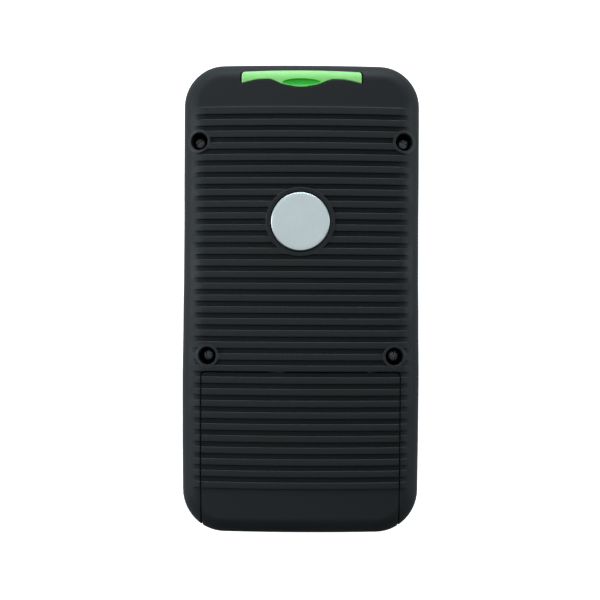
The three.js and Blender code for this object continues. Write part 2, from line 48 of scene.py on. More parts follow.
# ------------------------------------------------------------------ camera
CAM_HEIGHT = 0.476      # above the plane that the part lies on
SCALE_AT_EDGE = 0.35125 # mm a pixel at the height of the outline
cam_data = bpy.data.cameras.new("camera")
cam_data.sensor_width = 36.0
cam_data.lens = 36.0 * (CAM_HEIGHT * 1000 - 10.0) / (600 * SCALE_AT_EDGE)
cam = bpy.data.objects.new("camera", cam_data)
bpy.context.scene.collection.objects.link(cam)
cam.location = (-0.00034, -0.00038, CAM_HEIGHT)
cam.rotation_euler = (0, 0, math.radians(0.28))
bpy.context.scene.camera = cam

# ------------------------------------------------------------------ the case's form, in mm (the same form as the CAD)
HALF_W, HALF_L, R_TOP, R_LOW, HEIGHT = 41.0, 81.1, 14.0, 14.6, 26.0
CX, CY = 0.002388, 0.000473
EDGE_IN, EDGE_DOWN = 6.0, 8.0
PART_Z = 10.0
ROLL = 11.0              # length of the rounded edge in the unrolled plan
WALL_RUN = 4.0           # length of the upright side in the unrolled plan
RIB_H, PITCH, RIB_W, RIBS, FIRST_RIB = 0.8, 4.0, 2.35, 33, 64.23
STATIONS = np.array([[-67, 0.0], [-46, 0.13], [-28, 0.18], [-8, -0.03], [8, -0.18], [26, -0.2], [44, -0.09], [67, 0.0]])
DISC_X, DISC_Y, DISC_R, BOSS_R, BOSS_TOP = -0.35, 26.25, 10.0, 11.85, 25.75
SCREWS = [(-35.25, 53.9, 13.7), (35.25, 53.9, 13.7), (-32.0, -19.56, 15.5), (32.0, -19.56, 15.5)]
WELL_R, COLLAR_R = 3.03, 4.05
DOOR_HALF, DOOR_TOP, DOOR_CORNER, DOOR_GAP, GAP = 33.9, -25.2, 1.2, 0.42, 0.3
BUTTON_X, DIMPLE_Y, FIRST_EXTRA = -0.12, 73.98, 0.25


def crown(x, y):
    return HEIGHT - CX * x * x - CY * y * y


def swell(y):
    y = np.asarray(y, float)
    i = np.clip(np.searchsorted(STATIONS[:, 0], y) - 1, 0, len(STATIONS) - 2)
    a, b = STATIONS[i], STATIONS[i + 1]
    t = np.clip((y - a[..., 0]) / (b[..., 0] - a[..., 0]), 0, 1)
    return a[..., 1] + (b[..., 1] - a[..., 1]) * t * t * (3 - 2 * t)


def unroll(X, Y):
    """Outward distance past the start of the rounded edge, foot of that distance and outward direction, in the unrolled plan."""
    ax, sx = np.abs(X), np.where(X < 0, -1.0, 1.0)
    t = ax - (HALF_W - EDGE_IN + swell(Y))
    fx, fy = ax - t, Y.copy()
    nx, ny = np.ones_like(X), np.zeros_like(X)
    for cy0, cx, r, s in ((HALF_L - R_TOP, HALF_W - R_TOP, R_TOP, 1.0), (HALF_L - R_LOW, HALF_W - R_LOW, R_LOW, -1.0)):
        past = s * Y > cy0
        end = past & (ax <= cx)
        t = np.where(end, s * Y - (HALF_L - EDGE_IN), t)
        fx = np.where(end, ax, fx)
        fy = np.where(end, s * (HALF_L - EDGE_IN), fy)
        nx, ny = np.where(end, 0.0, nx), np.where(end, s, ny)
        cor = past & (ax > cx)
        vx, vy = ax - cx, Y - s * cy0
        q = np.maximum(np.hypot(vx, vy), 1e-9)
        t = np.where(cor, q - (r - EDGE_IN), t)
        nx, ny = np.where(cor, vx / q, nx), np.where(cor, vy / q, ny)
        fx = np.where(cor, cx + (r - EDGE_IN) * vx / q, fx)
        fy = np.where(cor, s * cy0 + (r - EDGE_IN) * vy / q, fy)
    return t, fx * sx, fy, nx * sx, ny


def base(X, Y):
    """Point of the plain surface under the ribs, for a point of the unrolled plan."""
    t, fx, fy, nx, ny = unroll(X, Y)
    phi = np.clip(t / ROLL, 0, 1) * PI / 2
    out = t > 0
    x = np.where(out, fx + nx * EDGE_IN * np.sin(phi), X)
    y = np.where(out, fy + ny * EDGE_IN * np.sin(phi), Y)
    z = crown(x, y) - RIB_H - np.where(out, EDGE_DOWN * (1 - np.cos(phi)), 0)
    down = np.clip((t - ROLL) / WALL_RUN, 0, 1)
    z = z + (PART_Z - z) * down
    return x, y, z


def rolled(pts):
    """Points of the true plan, given in the unrolled plan."""
    P = np.asarray(pts, float)
    t, fx, fy, nx, ny = unroll(P[:, 0].copy(), P[:, 1].copy())
    T = np.where(t > 0, ROLL * np.arcsin(np.clip(t / EDGE_IN, 0, 1)) / (PI / 2), t)
    return [(float(a), float(b)) for a, b in zip(np.where(t > 0, fx + nx * T, P[:, 0]), np.where(t > 0, fy + ny * T, P[:, 1]))]


# profile of a rib's edge: distance from the edge line, height as a share
EDGE_STEPS = np.array([-0.34, -0.22, -0.13, -0.06, 0.0, 0.06, 0.13, 0.22])
EDGE_SHARE = np.array([1.0, 0.985, 0.93, 0.80, 0.50, 0.18, 0.04, 0.0])


def edge_share(e):
    return np.interp(e, EDGE_STEPS, EDGE_SHARE)


def rib_edge(Y):
    """Distance past the edge of the nearest rib. The first rib is a little wider at its upper edge."""
    k = np.clip(np.round((FIRST_RIB - Y) / PITCH), 0, RIBS - 1)
    d = Y - (FIRST_RIB - PITCH * k)
    return np.where((k == 0) & (d > 0), d - FIRST_EXTRA, np.abs(d)) - RIB_W / 2


def rib_share(Y):
    return edge_share(rib_edge(Y))


def top(X, Y, openings):
    """Point of the finished surface. The openings argument is not used."""
    x, y, z = base(X, Y)
    side = HALF_W + swell(y) - np.abs(x)
    v = np.clip(1 - side / 8.3, 0, 1)
    high = crown(x, y) - 8.8 * (1 - np.sqrt(1 - v * v))
    share = rib_share(Y)
    for sx, sy, _ in SCREWS:
        share = np.maximum(share, edge_share(np.hypot(x - sx, y - sy) - COLLAR_R))
    z = z + np.maximum(0, high - z) * np.where(np.abs(Y) < 70, share, 0) * np.clip(side / 0.5, 0, 1)
    boss = edge_share(np.hypot(X - DISC_X, Y - DISC_Y) - BOSS_R)
    z = z + (BOSS_TOP - z) * boss
    return x, y, z


def fillet(s, r):
    q = np.clip(1 - s / r, 0, 1)
    return r * (1 - np.sqrt(1 - q * q))


def rect_distance(X, Y, half, y_top, r):
    """Signed distance to an upright slot open at its low end, negative inside."""
    qx, qy = np.abs(X) - (half - r), Y - (y_top - r)
    return np.hypot(np.maximum(qx, 0), np.maximum(qy, 0)) + np.minimum(np.maximum(qx, qy), 0) - r


# ------------------------------------------------------------------ the button's plan
LOW_EDGE = np.array([[-20.85, 73.98], [-18.2, 74.58], [-15, 75.18], [-11.2, 75.28], [-9.5, 74.78], [-7.3, 73.78], [-4.6, 73.08], [-2.3, 72.7],
    [-0.1, 72.58], [2.1, 72.72], [4.3, 73.12], [6.9, 73.88], [9.1, 74.78], [11.1, 75.28], [15, 75.18], [18.2, 74.58], [20.85, 73.98]]) * [20.56 / 20.85, 1.0]


def button_loop(grow=0.0, below=0.0):
    pts = []
    P = LOW_EDGE * [(20.56 + grow) / 20.56, 1.0] - [0.0, below]
    for i in range(len(P) - 1):
        p0, p1, p2, p3 = P[max(i - 1, 0)], P[i], P[i + 1], P[min(i + 2, len(P) - 1)]
        for s in range(4):
            t = s / 4
            pts.append(0.5 * (2 * p1 + (p2 - p0) * t + (2 * p0 - 5 * p1 + 4 * p2 - p3) * t * t + (3 * p1 - p0 - 3 * p2 + p3) * t ** 3))
    half, r = 20.56 + grow, 1.1
    edge = lambda x: 78.5 + grow - 0.00115 * x * x
    pts += [np.array([half, y]) for y in np.linspace(73.98 - below, edge(half - r) - r, 6)[:-1]]
    for i in range(8):
        a = PI / 2 * i / 7
        pts.append(np.array([half - r + r * math.cos(a), edge(half - r) - r + r * math.sin(a)]))
    for x in np.linspace(half - r, -half + r, 26)[1:-1]:
        pts.append(np.array([x, edge(x)]))
    for i in range(8):
        a = PI / 2 + PI / 2 * i / 7
        pts.append(np.array([-half + r + r * math.cos(a), edge(half - r) - r + r * math.sin(a)]))
    pts += [np.array([-half, y]) for y in np.linspace(edge(half - r) - r, 73.98 - below, 6)[1:-1]]
    return np.array(pts) + [BUTTON_X, 0.0]


def offset_loop(P, s):
    """A dense counter-clockwise loop moved out by s."""
    a, b = np.roll(P, 1, 0), np.roll(P, -1, 0)
    d1, d2 = P - a, b - P
    d1 /= np.maximum(np.hypot(*d1.T)[:, None], 1e-9)
    d2 /= np.maximum(np.hypot(*d2.T)[:, None], 1e-9)
    n = np.stack([d1[:, 1] + d2[:, 1], -(d1[:, 0] + d2[:, 0])], 1)
    length = np.hypot(*n.T)[:, None]
    n /= np.maximum(length, 1e-9)
    return P + n * s / np.maximum(length / 2, 0.5)


def loop_distance(X, Y, P):
    """Signed distance to a closed loop, negative inside."""
    best = np.full(X.shape, 1e9)
    inside = np.zeros(X.shape, bool)
    near = (X > P[:, 0].min() - 3) & (X < P[:, 0].max() + 3) & (Y > P[:, 1].min() - 3) & (Y < P[:, 1].max() + 3)
    x, y = X[near], Y[near]
    if not len(x):
        return best
    m, ins = np.full(x.shape, 1e9), np.zeros(x.shape, bool)
    for a, b in zip(P, np.roll(P, -1, 0)):
        d = b - a
        t = np.clip(((x - a[0]) * d[0] + (y - a[1]) * d[1]) / max(d @ d, 1e-12), 0, 1)
        m = np.minimum(m, np.hypot(x - a[0] - t * d[0], y - a[1] - t * d[1]))
        cross = (a[1] > y) != (b[1] > y)
        if a[1] != b[1]:
            ins ^= cross & (x < (b[0] - a[0]) * (y - a[1]) / (b[1] - a[1]) + a[0])
    best[near] = np.where(ins, -m, m)
    return best


BUTTON = button_loop()
WINDOW = button_loop(0.45, GAP)
LIP = 0.26      # rounding of every opening's edge
END_RUN = ROLL + WALL_RUN


def opening_distance(X, Y):
    """Distance to the nearest edge of the skin, in the unrolled plan."""
    d = np.full(X.shape, 1e9)
    x, y, _ = base(X, Y)
    for sx, sy, _ in SCREWS:
        d = np.minimum(d, np.abs(np.hypot(x - sx, y - sy) - WELL_R))
    d = np.minimum(d, np.abs(np.hypot(X - DISC_X, Y - DISC_Y) - (DISC_R + 0.3)))
    d = np.minimum(d, np.abs(loop_distance(X, Y, WINDOW)))
    # the door's gap and the wells are upright, so they are measured in the true plan
    for half, y_top, r in ((DOOR_HALF, DOOR_TOP, DOOR_CORNER), (DOOR_HALF + DOOR_GAP, DOOR_TOP + DOOR_GAP, DOOR_CORNER + DOOR_GAP)):
        d = np.minimum(d, np.abs(rect_distance(x, y, half, y_top, r)))
    t = unroll(X, Y)[0]
    return np.minimum(d, np.abs(END_RUN - t))


def finished(X, Y):
    """The skin with every edge rounded, as an n x 3 array."""
    X, Y = np.asarray(X, float), np.asarray(Y, float)
    P = np.stack(top(X, Y, None), 1)
    s = opening_distance(X, Y)
    near = s < LIP
    if near.any():
        h = 0.02
        n = normal(lambda a, b: np.stack(base(a, b), 1), X[near], Y[near], h)
        P[near] -= n * fillet(s[near], LIP)[:, None]
    return P


def normal(f, X, Y, h=0.012):
    a = f(X + h, Y) - f(X - h, Y)
    b = f(X, Y + h) - f(X, Y - h)
    n = np.cross(a, b)
    return n / np.maximum(np.linalg.norm(n, axis=1)[:, None], 1e-12)


# ------------------------------------------------------------------ triangulated skins
class Plan:
    def __init__(self):
        self.v, self.e = [], []

    def add(self, pts, closed=False):
        b = len(self.v)
        self.v += [(float(p[0]), float(p[1])) for p in pts]
        n = len(pts)
        self.e += [(b + i, b + (i + 1) % n) for i in range(n if closed else n - 1)]

    def dots(self, pts):
        self.v += [(float(p[0]), float(p[1])) for p in pts]

    def cut(self, eps=1e-5):
        out = delaunay_2d_cdt(self.v, self.e, [], 0, eps, True)
        return np.array([(v[0], v[1]) for v in out[0]]), np.array([f for f in out[2] if len(f) == 3])


def run_loop(t, corner=14, side=2.6, across=14):
    """The closed line at outward distance t in the unrolled plan, counter-clockwise."""
    right = []
    cl, yl, rl = HALF_W - R_LOW, HALF_L - R_LOW, R_LOW - EDGE_IN + t
    ct, yt, rt = HALF_W - R_TOP, HALF_L - R_TOP, R_TOP - EDGE_IN + t
    for i in range(corner + 1):
        a = -PI / 2 + PI / 2 * i / corner
        right.append((cl + rl * math.cos(a), -yl + rl * math.sin(a)))
    ys = np.linspace(-yl, yt, int((yl + yt) / side))[1:-1]
    right += [(HALF_W - EDGE_IN + float(swell(y)) + t, y) for y in ys]
    for i in range(corner + 1):
        a = PI / 2 * i / corner
        right.append((ct + rt * math.cos(a), yt + rt * math.sin(a)))
    head = [(x, yt + rt) for x in np.linspace(ct, -ct, across)[1:-1]]
    tail = [(x, -yl - rl) for x in np.linspace(-cl, cl, across)[1:-1]]
    left = [(-x, y) for x, y in reversed(right)]
    return right + head + left + tail


def circle(cx, cy, r, n):
    return [(cx + r * math.cos(2 * PI * i / n), cy + r * math.sin(2 * PI * i / n)) for i in range(n)]


def door_line(half, y_top, r):
    """The door's gap line in the unrolled plan, from the right foot up, across and down the left."""
    cx, cy = HALF_W - R_LOW, -(HALF_L - R_LOW)
    v = half - cx
    ys = list(np.linspace(cy - math.sqrt(R_LOW ** 2 - v * v), cy, 34))
    side = []
    foot = np.array([v, -math.sqrt(R_LOW ** 2 - v * v)]) / R_LOW
    for t in (ROLL + WALL_RUN, ROLL + WALL_RUN - 0.06, ROLL + WALL_RUN - 0.15, ROLL + 3, ROLL + 2, ROLL + 1):
        side.append((cx + foot[0] * (R_LOW - EDGE_IN + t), cy + foot[1] * (R_LOW - EDGE_IN + t)))
    for y in ys:
        d = np.array([v, y - cy])
        q = float(np.hypot(*d))
        t = ROLL * math.asin(min(1.0, max(0.0, (q - (R_LOW - EDGE_IN)) / EDGE_IN))) / (PI / 2) if q > R_LOW - EDGE_IN else q - (R_LOW - EDGE_IN)
        u = d / q
        side.append((cx + u[0] * (R_LOW - EDGE_IN + t), cy + u[1] * (R_LOW - EDGE_IN + t)))
    for y in np.linspace(cy, y_top - r, 24)[1:]:
        side.append((half, y))
    for i in range(1, 7):
        a = PI / 2 * i / 6
        side.append((half - r + r * math.cos(a), y_top - r + r * math.sin(a)))
    left = [(-x, y) for x, y in reversed(side)]
    cross = [(x, y_top) for x in np.linspace(half - r, -half + r, 28)[1:-1]]
    return side + cross + left


def mesh_object(name, V, F, N=None):
    me = bpy.data.meshes.new(name)
    me.from_pydata((np.asarray(V) * MM).tolist(), [], [tuple(int(i) for i in f) for f in F])
    me.validate()
    for p in me.polygons:
        p.use_smooth = True
    if N is not None:
        me.normals_split_custom_set_from_vertices([tuple(n) for n in N])
    ob = bpy.data.objects.new(name, me)
    bpy.context.scene.collection.objects.link(ob)
    return ob


def thick_skin(name, XY, F, surf, depth, into=None, coarse=6.0):
    """A closed skin: the finished surface above, walls at its edges and a coarse underside depth below."""
    used = np.unique(F)
    remap = -np.ones(len(XY), int)
    remap[used] = np.arange(len(used))
    XY, F = XY[used], remap[F]
    area = np.cross(XY[F[:, 1]] - XY[F[:, 0]], XY[F[:, 2]] - XY[F[:, 0]])
    F = F[np.abs(area) > 1e-9]
    flip = np.cross(XY[F[:, 1]] - XY[F[:, 0]], XY[F[:, 2]] - XY[F[:, 0]]) < 0
    F[flip] = F[flip][:, ::-1]
    P = surf(XY[:, 0], XY[:, 1])
    N = normal(surf, XY[:, 0], XY[:, 1])
    half = {}
    for f in F:
        for i in range(3):
            half[(f[i], f[(i + 1) % 3])] = True
    rim = [(a, b) for a, b in half if (b, a) not in half]
    edge = sorted({a for e in rim for a in e})
    slot = {v: i for i, v in enumerate(edge)}
    # underside: the same edge loops with a few points between
    plan = Plan()
    plan.v = [tuple(map(float, XY[v])) for v in edge]
    plan.e = [(slot[a], slot[b]) for a, b in rim]
    lo, hi = XY.min(0), XY.max(0)
    gx, gy = np.meshgrid(np.arange(lo[0] + 1, hi[0], coarse), np.arange(lo[1] + 1, hi[1], coarse))
    cand = np.stack([gx.ravel(), gy.ravel()], 1)
    # keep grid points well inside the skin
    cent = XY[F].mean(1)
    keep = []
    ex = XY[edge]
    for c in cand:
        if np.min(np.hypot(*(ex - c).T)) > coarse * 0.3 and np.min(np.hypot(*(cent - c).T)) < 1.6:
            keep.append(c)
    plan.dots(keep)
    uv, uf = plan.cut(1e-6)
    if len(uv) < len(plan.v):
        raise RuntimeError(name + ": the underside lost points")
    # drop the triangles outside the skin: those whose middle the into test rejects
    mid = uv[uf].mean(1)
    ok = into(mid) if into else np.ones(len(uf), bool)
    uf = uf[ok]
    nrm = normal(lambda a, b: np.stack(base(a, b), 1), uv[:, 0], uv[:, 1], 0.05)
    low = np.stack(base(uv[:, 0], uv[:, 1]), 1) - nrm * depth
    n0 = len(P)
    back = np.cross(uv[uf[:, 1]] - uv[uf[:, 0]], uv[uf[:, 2]] - uv[uf[:, 0]]) > 0
    uf[back] = uf[back][:, ::-1]
    V = np.vstack([P, low])
    # CDT keeps the first points in order, so an edge point's index below is its slot
    walls = [(b, a, n0 + slot[a], n0 + slot[b]) for a, b in rim]
    faces = [tuple(f) for f in F] + walls + [tuple(f + n0) for f in uf]
    ob = mesh_object(name, V, faces)
    me = ob.data
    # smooth above with true normals; flat walls in the second, darker material, which is painted shade in the wells,
    # gaps and openings
    loops = np.zeros((len(me.loops), 3), np.float32)
    ntop = len(F)
    me.materials.append(None)
    me.materials.append(None)
    for p in me.polygons:
        p.material_index = 0 if p.index < ntop else 1
        if p.index < ntop and p.vertices[0] < n0:
            for li in p.loop_indices:
                loops[li] = N[me.loops[li].vertex_index]
        else:
            for li in p.loop_indices:
                loops[li] = p.normal
    me.normals_split_custom_set(loops.tolist())
    return ob


def in_rect(P, half, y_top, r, grow=0.0):
    return rect_distance(P[:, 0], P[:, 1], half + grow, y_top + grow, r + grow) < 0


def region_masks(mid):
    x, y, _ = base(mid[:, 0], mid[:, 1])
    door_in = rect_distance(x, y, DOOR_HALF, DOOR_TOP, DOOR_CORNER) < 0.004
    gap = (rect_distance(x, y, DOOR_HALF + DOOR_GAP, DOOR_TOP + DOOR_GAP, DOOR_CORNER + DOOR_GAP) < -0.004) & ~door_in
    hole = np.zeros(len(mid), bool)
    for sx, sy, _ in SCREWS:
        hole |= np.hypot(x - sx, y - sy) < WELL_R * 0.9985
    hole |= np.hypot(mid[:, 0] - DISC_X, mid[:, 1] - DISC_Y) < (DISC_R + 0.3) * 0.9995
    hole |= loop_distance(mid[:, 0], mid[:, 1], WINDOW) < -0.0005
    t = unroll(mid[:, 0], mid[:, 1])[0]
    outside = t > END_RUN - 1e-4
    return door_in & ~outside, gap, hole, outside


plan = Plan()
for k in range(RIBS):
    c = FIRST_RIB - PITCH * k
    for s in (-1, 1):
        for e in EDGE_STEPS:
            y = c + s * (RIB_W / 2 + e) + (FIRST_EXTRA if k == 0 and s > 0 else 0)
            w = 37.2 + float(swell(y))
            plan.add([(x, y) for x in np.linspace(-w, w, 34)])
for t in (0, 1.1, 2.2, 3.3, 4.4, 5.5, 6.6, 7.7, 8.8, 9.9, 11, 12.3, 13.6, 14.5, 14.74, 14.8, 14.87, 14.94, 15.0):
    plan.add(run_loop(t), True)
for yy in list(np.arange(66.6, 75.4, 1.45)) + list(np.arange(-75.2, -65.6, 1.45)):
    plan.dots([(x, yy) for x in np.linspace(-33, 33, 30)])
for sx, sy, _ in SCREWS:
    for r in (WELL_R, WELL_R + 0.03, WELL_R + 0.08, WELL_R + 0.16, WELL_R + 0.26):
        plan.add(rolled(circle(sx, sy, r, 64)), True)
    for e in EDGE_STEPS:
        plan.add(rolled(circle(sx, sy, COLLAR_R + e, 64)), True)
for r in (0, 0.03, 0.08, 0.16, 0.26, 0.8):
    plan.add(circle(DISC_X, DISC_Y, DISC_R + 0.3 + r, 112), True)
for e in EDGE_STEPS:
    plan.add(circle(DISC_X, DISC_Y, BOSS_R + e, 112), True)
for s in (0, 0.03, 0.08, 0.16, 0.26, 0.7):
    plan.add(offset_loop(WINDOW, s), True)
for s in (0, 0.03, 0.08, 0.16, 0.26):
    plan.add(door_line(DOOR_HALF - s, DOOR_TOP - s, DOOR_CORNER - s))
    plan.add(door_line(DOOR_HALF + DOOR_GAP + s, DOOR_TOP + DOOR_GAP + s, DOOR_CORNER + DOOR_GAP + s))
XY, TRI = plan.cut()
mid = XY[TRI].mean(1)
door_mask, gap_mask, hole_mask, out_mask = region_masks(mid)
shell_mask = ~(door_mask | gap_mask | hole_mask | out_mask)


def is_shell(P):
    a, b, c, d = region_masks(P)
    return ~(a | b | c | d)


def is_door(P):
    a, b, c, d = region_masks(P)
    return a & ~(b | c | d)


print("skin plan", len(XY), len(TRI), int(shell_mask.sum()), int(door_mask.sum()), flush=True)
shell_skin = thick_skin("rear_shell_skin", XY, TRI[shell_mask], finished, 1.1, is_shell)
door_skin = thick_skin("battery_door_skin", XY, TRI[door_mask], finished, 1.1, is_door)
print("skins", len(shell_skin.data.polygons), len(door_skin.data.polygons), flush=True)


# ==== rest
# ------------------------------------------------------------------ copies of the CAD parts, with their outer surface sunk under the skins
def cad_arrays(name):
    me = nodes[name].data
    V = np.array([v.co for v in me.vertices], float).reshape(-1, 3) * 1000
    F = [tuple(p.vertices) for p in me.polygons]
    return V, F


def outer_depth(V):
    """How far a point lies under the finished surface, about."""
    x, y, z = V.T
    ax = np.abs(x)
    side = HALF_W + swell(y) - ax
    for cy0, cx, r, s in ((HALF_L - R_TOP, HALF_W - R_TOP, R_TOP, 1.0), (HALF_L - R_LOW, HALF_W - R_LOW, R_LOW, -1.0)):
        past = s * y > cy0
        side = np.where(past & (ax <= cx), HALF_L - s * y, side)
        cor = past & (ax > cx)
        side = np.where(cor, r - np.hypot(ax - cx, y - s * cy0), side)
    q = np.clip(1 - side / EDGE_IN, 0, 1)
    fall = EDGE_DOWN * (1 - np.sqrt(1 - q * q))
    return side, crown(x, y) - fall - z


def sunk(name, ob_name, depth=0.5, z_from=10.35, holes=()):
    """A copy of a CAD part whose outer surface is drawn in, as the core under a skin."""
    V, F = cad_arrays(name)
    side, below = outer_depth(V)
    is_top = (below < RIB_H + 0.35) & (V[:, 2] > z_from)
    is_side = (side < 0.25) & (V[:, 2] > z_from - 0.6)
    for hx, hy, hr in holes:
        keep = np.hypot(V[:, 0] - hx, V[:, 1] - hy) < hr
        is_top &= ~keep
    W = V.copy()
    W[is_top, 2] -= np.maximum(0, (RIB_H + depth) - below[is_top])
    # draw the sides in toward the foot of the rounded edge
    x, y = W[:, 0], W[:, 1]
    ax, sx = np.abs(x), np.where(x < 0, -1.0, 1.0)
    nx, ny = sx.copy(), np.zeros_like(x)
    for cy0, cx, r, s in ((HALF_L - R_TOP, HALF_W - R_TOP, R_TOP, 1.0), (HALF_L - R_LOW, HALF_W - R_LOW, R_LOW, -1.0)):
        past = s * y > cy0
        nx = np.where(past & (ax <= cx), 0.0, nx)
        ny = np.where(past & (ax <= cx), s, ny)
        cor = past & (ax > cx)
        vx, vy = (ax - cx) * sx, y - s * cy0
        q = np.maximum(np.hypot(vx, vy), 1e-6)
        nx, ny = np.where(cor, vx / q, nx), np.where(cor, vy / q, ny)
    pull = np.where((side < 7.0) & (is_top | is_side), depth, 0.0)
    W[:, 0] -= nx * pull
    W[:, 1] -= ny * pull
    return mesh_object(ob_name, W, F)


def flat_shade(ob, slot_number=0):
    ob.data.materials.append(None)
    ob.data.materials.append(None)
    for p in ob.data.polygons:
        p.use_smooth = False
        p.material_index = slot_number
    return ob


def joined(name, *parts):
    """One mesh from several, keeping the normals and material numbers of each."""
    V, F, N, base_i, slots = [], [], [], 0, []
    for ob in parts:
        me = ob.data
        slots += [p.material_index for p in me.polygons]
        V += [tuple(v.co) for v in me.vertices]
        cn = np.zeros(len(me.loops) * 3, np.float32)
        me.corner_normals.foreach_get("vector", cn)
        N.append(cn.reshape(-1, 3))
        F += [tuple(i + base_i for i in p.vertices) for p in me.polygons]
        base_i = len(V)
    me = bpy.data.meshes.new(name)
    me.from_pydata(V, [], F)
    me.materials.append(None)
    me.materials.append(None)
    for p in me.polygons:
        p.use_smooth = True
        p.material_index = slots[p.index]
    me.normals_split_custom_set(np.vstack(N).tolist())
    for ob in parts:
        old = ob.data
        bpy.data.objects.remove(ob)
        bpy.data.meshes.remove(old)
    ob = bpy.data.objects.new(name, me)
    bpy.context.scene.collection.objects.link(ob)
    return ob


def creased(ob, degrees=32):
    """Smooth shading that breaks at sharp edges, kept as normals."""
    me = ob.data
    bm = bmesh.new()
    bm.from_mesh(me)
    lim = math.radians(degrees)
    for f in bm.faces:
        f.smooth = True
    for e in bm.edges:
        e.smooth = len(e.link_faces) == 2 and e.calc_face_angle(9) < lim
    bm.to_mesh(me)
    bm.free()
    return ob


def paint_groove_shade_and_arris_highlight(ob):
    """A point attribute that is 1 on the floor of a groove, for painted shade there."""
    me = ob.data
    co = np.zeros(len(me.vertices) * 3)
    me.vertices.foreach_get("co", co)
    x, y, z = (co.reshape(-1, 3) * 1000).T
    run = np.clip((37.0 - np.abs(x)) / 4.2, 0, 1)
    run = run * run * (3 - 2 * run)
    field = np.clip(np.minimum(65.4 - y, y + 64.8) / 0.2, 0, 1)
    share = rib_share(y)
    for sx_, sy_, _ in SCREWS:
        share = np.maximum(share, edge_share(np.hypot(x - sx_, y - sy_) - COLLAR_R))
    share = np.maximum(share, edge_share(np.hypot(x - DISC_X, y - DISC_Y) - BOSS_R))
    at = me.attributes.new("groove_shade", "FLOAT", "POINT")
    at.data.foreach_set("value", ((1 - share) * run * field).astype(np.float32))
    # where the rounded edges of the ribs, collars and boss turn over: a painted highlight, a lighter colour there in
    # the material
    e = rib_edge(y)
    arris_highlight = lambda d: np.interp(d, [-0.36, -0.24, -0.13, -0.02, 0.06], [0.0, 0.75, 1.0, 0.6, 0.0])
    edge_highlight = arris_highlight(e) * run
    for sx_, sy_, _ in SCREWS:
        r = np.hypot(x - sx_, y - sy_)
        edge_highlight = np.where(r < COLLAR_R + 0.3, arris_highlight(r - COLLAR_R), edge_highlight)
        edge_highlight = np.maximum(edge_highlight, arris_highlight(0.05 + WELL_R - r) * 0.8)
    r = np.hypot(x - DISC_X, y - DISC_Y)
    edge_highlight = np.where(r < BOSS_R + 0.3, arris_highlight(r - BOSS_R) * 0.6, edge_highlight)
    at = me.attributes.new("arris_highlight", "FLOAT", "POINT")
    at.data.foreach_set("value", edge_highlight.astype(np.float32))


shell_core = flat_shade(sunk("rear_shell", "rear_shell_core"), 1)
rear = joined("rear_shell_body", shell_skin, shell_core)
paint_groove_shade_and_arris_highlight(rear)
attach(rear, "case"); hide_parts("rear_shell")
door_core = flat_shade(sunk("battery_door", "battery_door_core"), 1)
door = joined("battery_door_cover", door_skin, door_core)
paint_groove_shade_and_arris_highlight(door)
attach(door, "door"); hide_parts("battery_door")


# ==== more
# ------------------------------------------------------------------ the front shell: a smooth tray skin round the CAD's inside
def case_loop(inset, corner=22, side=3.2, across=20):
    """The case's outline drawn in by inset, counter-clockwise."""
    return run_loop(EDGE_IN - inset, corner, side, across)


def stacked(name, rings, caps=(True, True)):
    """A closed body from loops of equal length, each a list of (x, y, z)."""
    n = len(rings[0])
    V = np.array([p for r in rings for p in r], float)
    F = []
    for k in range(len(rings) - 1):
        for i in range(n):
            j = (i + 1) % n
            F.append((k * n + i, k * n + j, (k + 1) * n + j, (k + 1) * n + i))
    if caps[0]:
        F.append(tuple(range(n - 1, -1, -1)))
    if caps[1]:
        F.append(tuple((len(rings) - 1) * n + i for i in range(n)))
    return mesh_object(name, V, F)


TOP_Z = PART_Z - 0.3
rings = []
for inset, z in [(2.6, 1.05), (2.55, 1.05)]:
    pass
outer_side = [(0.22, TOP_Z), (0.07, TOP_Z - 0.06), (0.0, TOP_Z - 0.22), (0.0, 8.0), (0.0, 6.0), (0.0, 4.2), (0.0, 3.0)]
arc = [(3.0 * (1 - math.cos(a)), 3.0 * (1 - math.sin(a))) for a in np.linspace(0, PI / 2, 10)[1:]]
inner = [(6.0, 0.0), (6.0, 1.1), (3.4, 1.1), (2.2, 1.7), (1.1, 3.2), (1.1, TOP_Z)]
profile = outer_side + arc + inner
loops = [case_loop(i) for i, z in profile]
tray_rings = [[(x, y, z) for x, y in lp] for lp, (i, z) in zip(loops, profile)]
tray_rings.append(tray_rings[0])
n = len(tray_rings[0])
V = np.array([p for r in tray_rings[:-1] for p in r], float)
m = len(tray_rings) - 1
F = []
for k in range(m):
    for i in range(n):
        j = (i + 1) % n
        F.append((k * n + j, k * n + i, ((k + 1) % m) * n + i, ((k + 1) % m) * n + j))
tray_skin = creased(mesh_object("front_shell_skin", V, F), 28)
# the sensing face: a plate is built and removed again, so the CAD's own flat outside stays in the core
face = stacked("front_shell_face", [[(x, y, 0.0) for x, y in case_loop(6.4)], [(x, y, 0.0) for x, y in case_loop(5.9)], [(x, y, 1.0) for x, y in case_loop(5.9)]])
bpy.data.objects.remove(face)
V, F = cad_arrays("front_shell")
side, _ = outer_depth(V)
W = V.copy()
inset_now = side
x, y = W[:, 0].copy(), W[:, 1].copy()
ax, sx = np.abs(x), np.where(x < 0, -1.0, 1.0)
nx, ny = sx.copy(), np.zeros_like(x)
for cy0, cx, r, s_ in ((HALF_L - R_TOP, HALF_W - R_TOP, R_TOP, 1.0), (HALF_L - R_LOW, HALF_W - R_LOW, R_LOW, -1.0)):
    past = s_ * y > cy0
    nx = np.where(past & (ax <= cx), 0.0, nx)
    ny = np.where(past & (ax <= cx), s_, ny)
    cor = past & (ax > cx)
    vx, vy = (ax - cx) * sx, y - s_ * cy0
    q = np.maximum(np.hypot(vx, vy), 1e-6)
    nx, ny = np.where(cor, vx / q, nx), np.where(cor, vy / q, ny)
